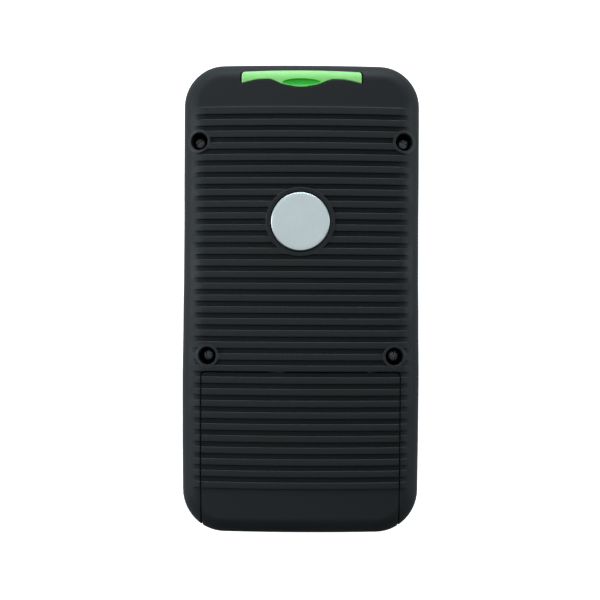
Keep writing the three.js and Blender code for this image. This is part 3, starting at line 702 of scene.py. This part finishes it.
# what the outer surface is at this height, and what is close to it
rim_in = np.where(W[:, 2] < 3.0, 3.0 * (1 - np.sqrt(np.clip(1 - ((3.0 - W[:, 2]) / 3.0) ** 2, 0, 1))), 0.0)
skinny = (side - rim_in < 0.9) & (W[:, 2] < TOP_Z + 0.1)
bottom = W[:, 2] < 0.02
W[skinny, 0] -= (nx * 0.5)[skinny]
W[skinny, 1] -= (ny * 0.5)[skinny]
W[skinny & (W[:, 2] > TOP_Z - 0.05), 2] -= 0.06
W[skinny & ~bottom & (W[:, 2] < 3.0), 2] += 0.45
tray_core = flat_shade(mesh_object("front_shell_core", W, F), 1)
front = joined("front_shell_body", tray_skin, tray_core)
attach(front, "case"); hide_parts("front_shell")

# ------------------------------------------------------------------ the button
def dimple_drop(X, Y):
    q = 1 - ((X - BUTTON_X) / 6.7) ** 2 - ((Y - DIMPLE_Y) / 1.42) ** 2
    d = np.where(q > 0, 0.9 * np.sqrt(np.maximum(q, 0)) - 0.1, -0.1)
    return 0.5 * (d + np.sqrt(d * d + 0.0009)) - 0.0015


def button_plain(X, Y):
    X, Y = np.asarray(X, float), np.asarray(Y, float)
    ax, sx = np.abs(X), np.sign(X)
    side = HALF_L - Y
    cor = (Y > HALF_L - R_TOP) & (ax > HALF_W - R_TOP)
    side = np.where(cor, R_TOP - np.hypot(ax - (HALF_W - R_TOP), Y - (HALF_L - R_TOP)), side)
    side = np.minimum(side, HALF_W + swell(Y) - ax)
    q = np.clip(1 - side / EDGE_IN, 0, 1)
    z = crown(X, Y) - RIB_H + 0.05 - EDGE_DOWN * (1 - np.sqrt(1 - q * q))
    return np.stack([X, Y, z], 1)


BUTTON_LIP = 0.34


def button_top(X, Y):
    P = button_plain(X, Y)
    P[:, 2] -= dimple_drop(P[:, 0], P[:, 1])
    s = np.abs(loop_distance(np.asarray(X, float), np.asarray(Y, float), BUTTON))
    near = s < BUTTON_LIP
    if near.any():
        nn = normal(button_plain, X[near], Y[near], 0.02)
        P[near] -= nn * fillet(s[near], BUTTON_LIP)[:, None]
    return P


bp = Plan()
for sft in (0, 0.03, 0.08, 0.15, 0.24, 0.34):
    bp.add(offset_loop(BUTTON, -sft), True)
for k in (0.25, 0.5, 0.7, 0.84, 0.93, 0.975, 0.99, 1.0, 1.02, 1.06):
    bp.add([(BUTTON_X + 6.7 * k * math.cos(2 * PI * i / 72), DIMPLE_Y + 1.42 * k * math.sin(2 * PI * i / 72)) for i in range(72)], True)
gx, gy = np.meshgrid(np.arange(-20.2, 20.3, 0.55), np.arange(72.9, 78.4, 0.45))
gx, gy = gx.ravel(), gy.ravel()
deep = loop_distance(gx, gy, BUTTON) < -0.5
off = (((gx - BUTTON_X) / 6.7) ** 2 + ((gy - DIMPLE_Y) / 1.42) ** 2) > 1.3
bp.dots(np.stack([gx, gy], 1)[deep & off])
bxy, btri = bp.cut()
bm_ = bxy[btri].mean(1)
btri = btri[loop_distance(bm_[:, 0], bm_[:, 1], BUTTON) < -0.0005]


def skirt_skin(name, XY, F, surf, lower, drop):
    """A closed body: the surface above, upright walls, and a copy of it below."""
    used = np.unique(F)
    remap = -np.ones(len(XY), int)
    remap[used] = np.arange(len(used))
    XY, F = XY[used], remap[F]
    flip = np.cross(XY[F[:, 1]] - XY[F[:, 0]], XY[F[:, 2]] - XY[F[:, 0]]) < 0
    F[flip] = F[flip][:, ::-1]
    P = surf(XY[:, 0], XY[:, 1])
    N = normal(surf, XY[:, 0], XY[:, 1])
    low = lower(XY[:, 0], XY[:, 1]).copy()
    low[:, 2] -= drop
    n0 = len(P)
    half = {(f[i], f[(i + 1) % 3]) for f in F for i in range(3)}
    rim = [(a, b) for a, b in half if (b, a) not in half]
    faces = [tuple(f) for f in F] + [(b, a, n0 + a, n0 + b) for a, b in rim] + [tuple(f[::-1] + n0) for f in F]
    ob = mesh_object(name, np.vstack([P, low]), faces)
    me = ob.data
    out = np.zeros((len(me.loops), 3), np.float32)
    for p in me.polygons:
        for li in p.loop_indices:
            v = me.loops[li].vertex_index
            out[li] = N[v] if p.index < len(F) else p.normal
    me.normals_split_custom_set(out.tolist())
    return ob


b_skin = skirt_skin("power_button_skin", bxy, btri, button_top, button_plain, 1.9)
V, F = cad_arrays("power_button")
on_top = V[:, 2] > button_plain(V[:, 0], V[:, 1])[:, 2] - 1.15
inner_b = loop_distance(V[:, 0], V[:, 1], BUTTON)
W = V.copy()
W[on_top & (V[:, 2] > 17.2), 2] -= 0.75
wall = on_top & (inner_b > -0.1)
W[wall, 0] *= 0.993
W[wall, 1] = 75.8 + (W[wall, 1] - 75.8) * 0.96
b_core = flat_shade(mesh_object("power_button_core", W, F))
button = joined("power_button_cap", b_skin, b_core)
bco = np.array([v.co for v in button.data.vertices], float) * 1000
# masks for painted light on the cap: painted shade in the finger dimple and round it, and a painted highlight along the
# rim
dimple_shade = 1 - np.sqrt(((bco[:, 0] - BUTTON_X) / 6.62) ** 2 + ((bco[:, 1] - DIMPLE_Y) / 1.40) ** 2)
at = button.data.attributes.new("dimple_shade", "FLOAT", "POINT")
at.data.foreach_set("value", np.clip(dimple_shade / 0.05 + 0.5, 0, 1).astype(np.float32))
at = button.data.attributes.new("dimple_surround_shade", "FLOAT", "POINT")
at.data.foreach_set("value", (np.clip(1 + dimple_shade * 1.6, 0, 1) ** 2).astype(np.float32))
# painted highlight mask along the cap's edge, above the dimple line
rim_b = loop_distance(bco[:, 0], bco[:, 1], BUTTON)
at = button.data.attributes.new("rim", "FLOAT", "POINT")
at.data.foreach_set("value", (np.clip((rim_b + 0.34) / 0.3, 0, 1) * (bco[:, 1] > 73.2 + 0.0)).astype(np.float32))
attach(button, "button"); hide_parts("power_button")


# ------------------------------------------------------------------ turned parts
def turned(name, profile, sides, crease=30):
    """A closed body of revolution about Z from (radius, z) points, from the axis at the foot to the axis at the top."""
    V, F = [], []
    ringi = []
    for r, z in profile:
        if r < 1e-6:
            ringi.append([len(V)])
            V.append((0, 0, z))
        else:
            ringi.append(list(range(len(V), len(V) + sides)))
            V += [(r * math.cos(2 * PI * i / sides), r * math.sin(2 * PI * i / sides), z) for i in range(sides)]
    for a, b in zip(ringi, ringi[1:]):
        for i in range(sides):
            j = (i + 1) % sides
            if len(a) == 1 and len(b) > 1:
                F.append((a[0], b[j], b[i]))
            elif len(b) == 1 and len(a) > 1:
                F.append((a[i], a[j], b[0]))
            elif len(a) > 1:
                F.append((a[i], a[j], b[j], b[i]))
    return creased(mesh_object(name, V, F), crease)


def placed(ob, M):
    ob.data.transform(M)
    return ob


def shift(x, y, z):
    return Matrix.Translation(Vector((x, y, z)) * MM)


disc_profile = [(0, 24.0), (9.8, 24.0), (10.0, 24.2), (10.0, 25.62), (9.985, 25.66), (9.95, 25.70), (9.70, 25.955), (9.66, 25.985), (9.60, 26.0)]
for r in (8.5, 7.0, 5.5, 4.0, 2.5, 1.2):
    disc_profile.append((r, 26.0))
disc_profile.append((0, 26.0))
disc = placed(turned("magnet_disc_turned", disc_profile, 144, 24), shift(DISC_X, DISC_Y, 0))
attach(disc, "case"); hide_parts("magnet_disc")


def cross_loop(s, arm=1.5, half=0.40):
    """Outline of a cross recess drawn in by s."""
    a, h = arm - s * 0.8, half - s
    c = 0.12
    pts = []
    for k in range(4):
        t = PI / 2 * k
        for px, py in ((h + c, -h), (a - 0.08, -h), (a, -h + 0.1), (a, h - 0.1), (a - 0.08, h), (h + c, h), (h, h + c)):
            pts.append((px * math.cos(t) - py * math.sin(t), px * math.sin(t) + py * math.cos(t)))
    return pts


def screw_body(name, x, y, z0, turn):
    """Round-head screw with a tapered cross recess, thread rings on its shank."""
    head_r, head_h = 2.6, 1.8
    dome = lambda r: head_h - 0.045 * r * r - 0.9 * max(0.0, (r - 1.6) / 1.0) ** 2.2 * 0.55
    p = Plan()
    levels = [(0.0, 0.0), (0.05, -0.10), (0.12, -0.62), (0.17, -0.98), (0.24, -1.08)]
    for s_, d in levels:
        p.add(cross_loop(s_), True)
    p.add(cross_loop(-0.05), True)
    for r in (1.75, 2.0, 2.2, 2.38, 2.5, 2.57, 2.6):
        p.add(circle(0, 0, r, 48), True)
    p.dots([(0, 0)])
    xy, tri = p.cut()
    loops_ = [np.array(cross_loop(s_)) for s_, d in levels]
    zz = np.array([dome(float(np.hypot(*q))) for q in xy])
    for lp, (s_, d) in zip(loops_, levels):
        inside = loop_distance(xy[:, 0], xy[:, 1], lp) < 1e-5
        zz[inside] = head_h + d - 0.02
    V = np.column_stack([xy, zz])
    used = tri[np.abs(np.cross(xy[tri[:, 1]] - xy[tri[:, 0]], xy[tri[:, 2]] - xy[tri[:, 0]])) > 1e-9]
    flip = np.cross(xy[used[:, 1]] - xy[used[:, 0]], xy[used[:, 2]] - xy[used[:, 0]]) < 0
    used[flip] = used[flip][:, ::-1]
    half = {(f[i], f[(i + 1) % 3]) for f in used for i in range(3)}
    rim = {a: b for a, b in half if (b, a) not in half}
    start = next(iter(rim))
    loop = [start]
    while rim[loop[-1]] != start:
        loop.append(rim[loop[-1]])
    V = V.tolist()
    F = [tuple(f) for f in used]
    prev = loop
    below = [(2.6, 0.12), (2.5, 0.0), (1.55, 0.0)]
    zc = -0.2
    while zc > -8.0:
        below += [(1.12, zc), (1.48, zc - 0.25), (1.12, zc - 0.5)]
        zc -= 0.72
    below += [(1.2, -8.3), (0.5, -9.45)]
    ang = [math.atan2(V[i][1], V[i][0]) for i in loop]
    for r, z in below:
        ring = list(range(len(V), len(V) + len(loop)))
        V += [(r * math.cos(a), r * math.sin(a), z) for a in ang]
        for i in range(len(loop)):
            j = (i + 1) % len(loop)
            F.append((prev[j], prev[i], ring[i], ring[j]))
        prev = ring
    tip = len(V)
    V.append((0, 0, -9.5))
    for i in range(len(loop)):
        j = (i + 1) % len(loop)
        F.append((prev[j], prev[i], tip))
    ob = creased(mesh_object(name, V, F), 26)
    return placed(ob, shift(x, y, z0) @ Matrix.Rotation(math.radians(turn), 4, "Z"))


TURNS = [38, 62, 20, 8]
screws = []
for i, (sx_, sy_, seat) in enumerate(SCREWS):
    ob = screw_body(f"case_screw_{i + 1}_body", sx_, sy_, seat + 0.3, TURNS[i])
    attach(ob, "case"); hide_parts(f"case_screw_{i + 1}")
    screws.append(ob)

# cells: a can in a printed jacket, an insulating ring and a nub
CELL_R, CELL_LEN, CELL_Z = 7.15, 50.5, 11.2
cells = []
for i in range(4):
    xk = (-22.05, -7.35, 7.35, 22.05)[i]
    low = i % 2 == 0
    prof = [(0, 0.12), (2.2, 0.12), (2.6, 0.02), (5.6, 0.0), (6.1, 0.05), (6.45, 0.22), (6.55, 0.32), (6.95, 0.34), (7.10, 0.42), (CELL_R, 0.6),
        (CELL_R, 12.4), (CELL_R, 12.42), (CELL_R, 25.0), (CELL_R, 34.0), (CELL_R, 34.02), (CELL_R, 45.0), (CELL_R, 45.02), (CELL_R, 48.2), (7.10, 48.55), (6.92, 48.75), (6.5, 48.82), (6.35, 49.0), (6.0, 49.12),
        (5.4, 49.16), (5.35, 49.22), (3.2, 49.22), (3.15, 49.16), (2.75, 49.16), (2.7, 49.3), (2.68, 50.1), (2.6, 50.35), (2.42, 50.47), (2.2, CELL_LEN), (0, CELL_LEN)]
    ob = turned(f"battery_cell_{i + 1}_body", prof, 56, 30)
    # jacket bands by height: 0 bare can, 1 dark jacket, 2 band, 3 insulating ring
    for p in ob.data.polygons:
        z = p.center.z * 1000
        r = math.hypot(p.center.x, p.center.y) * 1000
        k = 0
        if r > 6.5 and 0.3 < z < 48.8:
            k = 2 if 34.01 < z < 45.01 else 1
        elif z > 49.1 and 3.1 < r < 5.5:
            k = 3
        p.material_index = k
    M = Matrix.Rotation(PI / 2 if low else -PI / 2, 4, "X")
    yy = (-26.0 if low else -72.9)
    placed(ob, shift(xk, yy, CELL_Z) @ M)
    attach(ob, "case"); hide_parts(f"battery_cell_{i + 1}")
    cells.append(ob)


def coil_body(name, turns, r0, r1, length, wire_r, M, steps=34, sides=10):
    V, F = [], []
    total = int(turns * steps)
    for k in range(total + 1):
        t = k / total
        a = 2 * PI * turns * t
        r = r0 + (r1 - r0) * t
        c = Vector((r * math.cos(a), r * math.sin(a), length * t))
        d = Vector((-r * math.sin(a), r * math.cos(a), length / (2 * PI * turns))).normalized()
        out = Vector((math.cos(a), math.sin(a), 0))
        up = d.cross(out).normalized()
        out = up.cross(d).normalized()
        for i in range(sides):
            b = 2 * PI * i / sides
            V.append(tuple(c + (out * math.cos(b) + up * math.sin(b)) * wire_r))
    for k in range(total):
        for i in range(sides):
            j = (i + 1) % sides
            F.append((k * sides + i, k * sides + j, (k + 1) * sides + j, (k + 1) * sides + i))
    F.append(tuple(range(sides - 1, -1, -1)))
    F.append(tuple(total * sides + i for i in range(sides)))
    ob = mesh_object(name, V, F)
    bm = bmesh.new(); bm.from_mesh(ob.data); bmesh.ops.recalc_face_normals(bm, faces=bm.faces); bm.to_mesh(ob.data); bm.free()
    return placed(creased(ob, 40), M)


springs = []
for i in range(4):
    xk = (-22.05, -7.35, 7.35, 22.05)[i]
    high = i % 2 == 0
    lo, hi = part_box(f"battery_spring_{i + 1}")
    M = (shift(xk, -22.5, CELL_Z) @ Matrix.Rotation(PI / 2, 4, "X")) if high else (shift(xk, -76.4, CELL_Z) @ Matrix.Rotation(-PI / 2, 4, "X"))
    ob = coil_body(f"battery_spring_{i + 1}_body", 3, 4.0, 2.2, 2.1, 0.28, M)
    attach(ob, "case"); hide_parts(f"battery_spring_{i + 1}")
    springs.append(ob)

# ------------------------------------------------------------------ materials
class Graph:
    def __init__(self, name):
        self.mat = bpy.data.materials.new(name)
        self.mat.use_nodes = True
        self.t = self.mat.node_tree
        self.t.nodes.clear()
        self.out = self.node("ShaderNodeOutputMaterial")
        self.bsdf = self.node("ShaderNodeBsdfPrincipled")
        self.link(self.bsdf.outputs[0], self.out.inputs[0])
        self.co = self.node("ShaderNodeTexCoord").outputs["Object"]

    def node(self, kind, **kw):
        n = self.t.nodes.new(kind)
        for k, v in kw.items():
            setattr(n, k, v)
        return n

    def link(self, a, b):
        self.t.links.new(a, b)

    def noise(self, scale, detail=4.0, rough=0.55, vector=None, stretch=None):
        n = self.node("ShaderNodeTexNoise")
        n.inputs["Scale"].default_value = scale
        n.inputs["Detail"].default_value = detail
        n.inputs["Roughness"].default_value = rough
        v = vector or self.co
        if stretch:
            m = self.node("ShaderNodeMapping")
            m.inputs["Scale"].default_value = stretch
            self.link(v, m.inputs["Vector"])
            v = m.outputs[0]
        self.link(v, n.inputs["Vector"])
        return n.outputs["Fac"]

    def remap(self, v, a, b, lo, hi, smooth=False):
        n = self.node("ShaderNodeMapRange")
        n.interpolation_type = "SMOOTHSTEP" if smooth else "LINEAR"
        for k, x in zip(("From Min", "From Max", "To Min", "To Max"), (a, b, lo, hi)):
            n.inputs[k].default_value = x
        self.link(v, n.inputs["Value"])
        return n.outputs[0]

    def math(self, op, a, b, clamp=False):
        n = self.node("ShaderNodeMath", operation=op, use_clamp=clamp)
        for i, v in enumerate((a, b)):
            if isinstance(v, (int, float)):
                n.inputs[i].default_value = v
            else:
                self.link(v, n.inputs[i])
        return n.outputs[0]

    def mix(self, f, a, b):
        n = self.node("ShaderNodeMix", data_type="RGBA")
        if isinstance(f, (int, float)):
            n.inputs["Factor"].default_value = f
        else:
            self.link(f, n.inputs["Factor"])
        for key, v in (("A", a), ("B", b)):
            sock = [q for q in n.inputs if q.name == key and q.type == "RGBA"][0]
            if isinstance(v, tuple):
                sock.default_value = (*v, 1) if len(v) == 3 else v
            else:
                self.link(v, sock)
        return [q for q in n.outputs if q.type == "RGBA"][0]

    def bump(self, height, strength, distance, under=None):
        n = self.node("ShaderNodeBump")
        n.inputs["Strength"].default_value = strength
        n.inputs["Distance"].default_value = distance
        self.link(height, n.inputs["Height"])
        if under is not None:
            self.link(under, n.inputs["Normal"])
        return n.outputs[0]

    def edges(self, lo=0.51, hi=0.60):
        g = self.node("ShaderNodeNewGeometry")
        return self.remap(g.outputs["Pointiness"], lo, hi, 0.0, 1.0, True)


def srgb(r, g, b):
    f = lambda c: (c / 255) / 12.92 if c <= 10 else ((c / 255 + 0.055) / 1.055) ** 2.4
    return (f(r), f(g), f(b))


def moulded(name, colour, rough, grain=5200.0, depth=0.000011, spread=0.10, vary=0.10, edge_wear_and_highlight=0.5, ior=1.5, pale=1.6, groove_shade=0.0):
    """Moulded plastic: fine spark-eroded grain, slight mottling, and edges painted paler and made shinier, partly rub
    wear and partly painted highlight; with the groove option, painted shade on groove floors and a painted highlight on
    the arrises.
    """
    g = Graph(name)
    c = np.array(colour)
    cloud = g.noise(34.0, 3.0, 0.5)
    fine = g.noise(grain, 3.0, 0.6)
    speck = g.noise(grain * 0.28, 4.0, 0.65)
    base_c = g.mix(g.remap(cloud, 0.35, 0.65, 0.0, 1.0), tuple(c * (1 - vary)), tuple(np.minimum(c * (1 + vary), 1)))
    base_c = g.mix(g.remap(speck, 0.3, 0.7, 0.0, 0.35), base_c, tuple(np.minimum(c * 1.35, 1)))
    # edges found by pointiness painted paler: partly rub wear, partly painted highlight
    edge = g.math("MULTIPLY", g.edges(), g.remap(g.noise(900.0, 4.0, 0.7), 0.3, 0.7, 0.2, 1.0))
    edge = g.math("MULTIPLY", edge, edge_wear_and_highlight, True)
    base_c = g.mix(edge, base_c, tuple(np.minimum(c * pale, 1)))
    if groove_shade:
        # painted shade: groove floors darkened toward a fifth of the colour, and made rougher
        a = g.node("ShaderNodeAttribute", attribute_name="groove_shade")
        low = g.remap(a.outputs["Fac"], 0.0, 1.0, 0.0, groove_shade)
        base_c = g.mix(low, base_c, tuple(c * 0.2))
        # painted highlight: the arrises of ribs, collars and boss lightened to 2.8 times the colour, and made less
        # rough
        b = g.node("ShaderNodeAttribute", attribute_name="arris_highlight")
        turn = g.math("MULTIPLY", b.outputs["Fac"], g.remap(g.noise(700.0, 4.0, 0.7), 0.3, 0.7, 0.6, 1.0))
        base_c = g.mix(turn, base_c, tuple(c * 2.8))
    g.link(base_c, g.bsdf.inputs["Base Color"])
    r = g.remap(cloud, 0.3, 0.7, rough - spread / 2, rough + spread / 2)
    r = g.math("ADD", r, g.remap(speck, 0.3, 0.7, -0.03, 0.03))
    if groove_shade:
        r = g.math("ADD", r, g.math("MULTIPLY", low, 0.2))
        r = g.math("SUBTRACT", r, g.math("MULTIPLY", turn, 0.2))
    r = g.math("SUBTRACT", r, g.math("MULTIPLY", edge, 0.12), True)
    g.link(r, g.bsdf.inputs["Roughness"])
    g.bsdf.inputs["IOR"].default_value = ior
    n = g.bump(fine, 0.55, depth)
    n = g.bump(speck, 0.35, depth * 1.6, n)
    g.link(n, g.bsdf.inputs["Normal"])
    return g


def metal(name, colour, rough, grain=2600.0, depth=0.000006, stretch=None, vary=0.06, spread=0.1, edge_wear_and_highlight=0.25):
    g = Graph(name)
    c = np.array(colour)
    g.bsdf.inputs["Metallic"].default_value = 1.0
    streak = g.noise(grain, 4.0, 0.6, stretch=stretch)
    cloud = g.noise(160.0, 3.0, 0.55)
    base_c = g.mix(g.remap(cloud, 0.3, 0.7, 0, 1), tuple(c * (1 - vary)), tuple(np.minimum(c * (1 + vary), 1)))
    base_c = g.mix(g.remap(streak, 0.35, 0.65, 0.0, 0.4), base_c, tuple(c * 0.86))
    # edges found by pointiness painted paler: partly wear, partly painted highlight
    edge = g.math("MULTIPLY", g.edges(), edge_wear_and_highlight, True)
    base_c = g.mix(edge, base_c, tuple(np.minimum(c * 1.2, 1)))
    g.link(base_c, g.bsdf.inputs["Base Color"])
    r = g.remap(streak, 0.3, 0.7, rough - spread / 2, rough + spread / 2)
    r = g.math("ADD", r, g.remap(cloud, 0.3, 0.7, -0.03, 0.03), True)
    g.link(r, g.bsdf.inputs["Roughness"])
    g.link(g.bump(streak, 0.5, depth), g.bsdf.inputs["Normal"])
    return g


case_mat = moulded("case_soft_black", (0.0076, 0.0092, 0.0104), 0.52, grain=5200.0, vary=0.06, pale=1.8, groove_shade=0.9)
case_mat.bsdf.inputs["Specular IOR Level"].default_value = 0.19
# darker and less glossy than the coat: painted shade on the walls of wells, gaps and openings, and on the inside
inside_and_recess_shade_mat = moulded("case_inside_painted_shade", (0.0052, 0.0056, 0.006), 0.72, vary=0.1, edge_wear_and_highlight=0.2)
inside_and_recess_shade_mat.bsdf.inputs["Specular IOR Level"].default_value = 0.12
def translucent_green(name):
    """Tinted, slightly milky plastic, with painted light: a painted highlight along the upper rim, and painted shade in
    the oval finger dimple and round it, deepest at the dimple's upper side.
    """
    g = Graph(name)
    cloud, fine = g.noise(60.0, 3.0), g.noise(6500.0, 3.0, 0.6)
    c = g.mix(g.remap(cloud, 0.35, 0.65, 0, 1), srgb(118, 189, 103), srgb(127, 197, 111))
    # painted shade: the oval finger dimple painted a darker green
    dimple_shade_mask = g.node("ShaderNodeAttribute", attribute_name="dimple_shade").outputs["Fac"]
    along = g.node("ShaderNodeSeparateXYZ")
    g.link(g.co, along.inputs[0])
    # painted shade: the dimple's upper side a deeper green than its lower side, as light falls from above
    down = g.remap(along.outputs[1], 0.0726, 0.0750, 1.0, 0.0, True)
    dimple_shade_colour = g.mix(down, srgb(0, 176, 16), srgb(44, 164, 46))
    # painted shade round the dimple: a deeper green
    near = g.node("ShaderNodeAttribute", attribute_name="dimple_surround_shade").outputs["Fac"]
    c = g.mix(g.math("MULTIPLY", near, 0.75), c, srgb(92, 200, 66))
    c = g.mix(dimple_shade_mask, c, dimple_shade_colour)
    # painted highlight along the upper and side edges of the cap
    rim = g.node("ShaderNodeAttribute", attribute_name="rim").outputs["Fac"]
    c = g.mix(g.math("MULTIPLY", rim, 0.5), c, srgb(196, 250, 186))
    g.link(c, g.bsdf.inputs["Base Color"])
    r = g.remap(cloud, 0.3, 0.7, 0.40, 0.48)
    g.link(g.math("ADD", r, g.remap(fine, 0.3, 0.7, -0.03, 0.03)), g.bsdf.inputs["Roughness"])
    g.link(g.bump(fine, 0.5, 0.000007), g.bsdf.inputs["Normal"])
    g.bsdf.inputs["Subsurface Weight"].default_value = 0.1
    g.bsdf.inputs["Subsurface Radius"].default_value = (0.0005, 0.0009, 0.0004)
    g.bsdf.inputs["Subsurface Scale"].default_value = 1.0
    return g


green_mat = translucent_green("button_green")
disc_mat = metal("disc_satin_steel", srgb(192, 201, 203), 0.42, grain=2600.0, depth=0.000006, vary=0.03)
steel_mat = metal("screw_blackened_steel", srgb(74, 76, 78), 0.24, grain=2400.0)
nickel_mat = metal("contact_nickel", srgb(205, 205, 196), 0.24, grain=900.0, stretch=(1.0, 0.12, 1.0))
can_mat = metal("can_tinned_steel", srgb(196, 200, 202), 0.30, grain=500.0, stretch=(1.0, 0.08, 1.0))
alu_mat = metal("capacitor_aluminium", srgb(190, 194, 198), 0.28, grain=1400.0, stretch=(1.0, 1.0, 0.1))
cellcan_mat = metal("cell_steel", srgb(206, 206, 202), 0.25, grain=700.0)
tray_mat = moulded("tray_dark_plastic", (0.022, 0.024, 0.026), 0.42, grain=2600.0)
dark_mat = moulded("component_dark_plastic", (0.016, 0.016, 0.018), 0.45, grain=3600.0)
light_mat = moulded("connector_light_plastic", srgb(226, 218, 196), 0.45, grain=3000.0, edge_wear_and_highlight=0.2, pale=1.05)
red_mat = moulded("wire_red_sleeve", srgb(178, 30, 24), 0.38, grain=1500.0, edge_wear_and_highlight=0.2)
wire_mat = moulded("wire_black_sleeve", (0.012, 0.012, 0.012), 0.38, grain=1500.0, edge_wear_and_highlight=0.2)
pad_mat = moulded("adhesive_pad", srgb(214, 208, 190), 0.85, grain=1200.0, depth=0.00003, edge_wear_and_highlight=0.1, pale=1.05)
ring_mat = moulded("cell_ring", srgb(228, 226, 218), 0.6, grain=2400.0, edge_wear_and_highlight=0.1, pale=1.02)
jacket_mat = moulded("cell_jacket_dark", srgb(44, 47, 52), 0.30, grain=1400.0, depth=0.000003, edge_wear_and_highlight=0.2)
jacket_mat.bsdf.inputs["Coat Weight"].default_value = 0.6
jacket_mat.bsdf.inputs["Coat Roughness"].default_value = 0.12
band_mat = metal("cell_jacket_copper", srgb(198, 128, 74), 0.28, grain=1400.0)
band_mat.bsdf.inputs["Coat Weight"].default_value = 0.6
band_mat.bsdf.inputs["Coat Roughness"].default_value = 0.12
chip_mat = moulded("chip_epoxy", srgb(38, 38, 40), 0.5, grain=3200.0, edge_wear_and_highlight=0.2)
board_mat = moulded("board_solder_mask", srgb(24, 84, 46), 0.32, grain=700.0, depth=0.000004, vary=0.12, edge_wear_and_highlight=0.2)


def dress(ob, *mats):
    keep = [p.material_index for p in ob.data.polygons]
    ob.data.materials.clear()
    for m in mats:
        ob.data.materials.append(m.mat)
    for p, k in zip(ob.data.polygons, keep):
        p.material_index = min(k, len(mats) - 1)


for ob in (rear, door, front):
    dress(ob, case_mat, inside_and_recess_shade_mat)
dress(button, green_mat)
dress(disc, disc_mat)
for ob in screws:
    dress(ob, steel_mat)
for ob in cells:
    dress(ob, cellcan_mat, jacket_mat, band_mat, ring_mat)
for ob in springs:
    dress(ob, nickel_mat)
for names, m in ((("disc_adhesive_pad",), pad_mat), (("battery_tray",), tray_mat), (("tact_switch_body", "board_link_connector"), dark_mat),
        (("switch_plunger", "battery_connector"), light_mat), (("wire_black",), wire_mat), (("wire_red",), red_mat), (("main_board", "antenna_board"), board_mat),
        (("contact_bridge_low_left", "contact_bridge_low_right", "contact_bridge_high", "terminal_negative", "terminal_positive", "crystal"), nickel_mat),
        (("rf_shield_can", "radio_module"), can_mat), (("radar_chip", "processor_chip", "memory_chip", "power_inductor"), chip_mat),
        (("electrolytic_capacitor",), alu_mat), (tuple(f"board_screw_{k}" for k in (1, 2, 3, 4)), steel_mat)):
    for nm in names:
        for sl in nodes[nm].material_slots:
            sl.material = m.mat

# ------------------------------------------------------------------ floor and light
fm = bpy.data.meshes.new("floor")
fm.from_pydata([(-6, -6, -0.0002), (6, -6, -0.0002), (6, 6, -0.0002), (-6, 6, -0.0002)], [], [(0, 1, 2, 3)])
floor = bpy.data.objects.new("floor", fm)
bpy.context.scene.collection.objects.link(floor)
fg = Graph("floor_white")
fg.link(fg.mix(fg.remap(fg.noise(3.0, 3.0), 0.3, 0.7, 0, 1), (0.86, 0.86, 0.86), (0.9, 0.9, 0.9)), fg.bsdf.inputs["Base Color"])
fg.bsdf.inputs["Roughness"].default_value = 0.9
fg.bsdf.inputs["Emission Color"].default_value = (1, 1, 1, 1)
fg.bsdf.inputs["Emission Strength"].default_value = 0.82
fm.materials.append(fg.mat)
floor.visible_glossy = False

world = bpy.data.worlds.new("studio")
world.use_nodes = True
wn = world.node_tree.nodes
wt = world.node_tree
dirn = wn.new("ShaderNodeTexCoord")
axes = wn.new("ShaderNodeSeparateXYZ")
wt.links.new(dirn.outputs["Generated"], axes.inputs[0])


def wmath(op, a, b):
    n_ = wn.new("ShaderNodeMath")
    n_.operation = op
    for i_, v_ in enumerate((a, b)):
        if isinstance(v_, (int, float)):
            n_.inputs[i_].default_value = v_
        else:
            wt.links.new(v_, n_.inputs[i_])
    return n_.outputs[0]


# a soft room: brighter at the sides and behind the top end, darkest in front of the low end
level = wmath("ADD", 0.36, wmath("MULTIPLY", axes.outputs[1], 0.46))
level = wmath("ADD", level, wmath("MULTIPLY", wmath("ABSOLUTE", axes.outputs[0], 0), 0.20))
level = wmath("ADD", level, wmath("MULTIPLY", axes.outputs[0], -0.08))
level = wmath("MAXIMUM", level, 0.04)
wt.links.new(level, wn["Background"].inputs[1])
wn["Background"].inputs[0].default_value = (0.88, 0.97, 1.0, 1)
bpy.context.scene.world = world


def lamp(name, loc, aim, size, watts, colour=(1, 1, 1)):
    d = bpy.data.lights.new(name, "AREA")
    d.shape, d.size, d.size_y = "RECTANGLE", size[0], size[1]
    d.energy, d.color = watts, colour
    ob = bpy.data.objects.new(name, d)
    bpy.context.scene.collection.objects.link(ob)
    ob.location = loc
    ob.rotation_mode = "QUATERNION"
    ob.rotation_quaternion = (Vector(aim) - Vector(loc)).to_track_quat("-Z", "Y")
    return ob


cool = (0.86, 0.96, 1.0)
lamp("overhead", (-0.1, 0.1, 1.2), (0, 0, 0.02), (1.7, 1.7), 5.5)
lamp("behind", (0.0, 0.95, 0.24), (0, 0, 0.02), (1.2, 0.40), 8.5, cool)
lamp("left", (-0.95, 0.1, 0.34), (0, 0, 0.02), (0.45, 0.9), 5.2, cool)
lamp("right", (1.0, 0.1, 0.12), (0, 0, 0.02), (0.2, 0.9), 3.0, cool)
scene = bpy.context.scene
scene.view_settings.view_transform = "Standard"
scene.view_settings.look = "None"
scene.view_settings.exposure = 0.0
scene.view_settings.gamma = 1.0
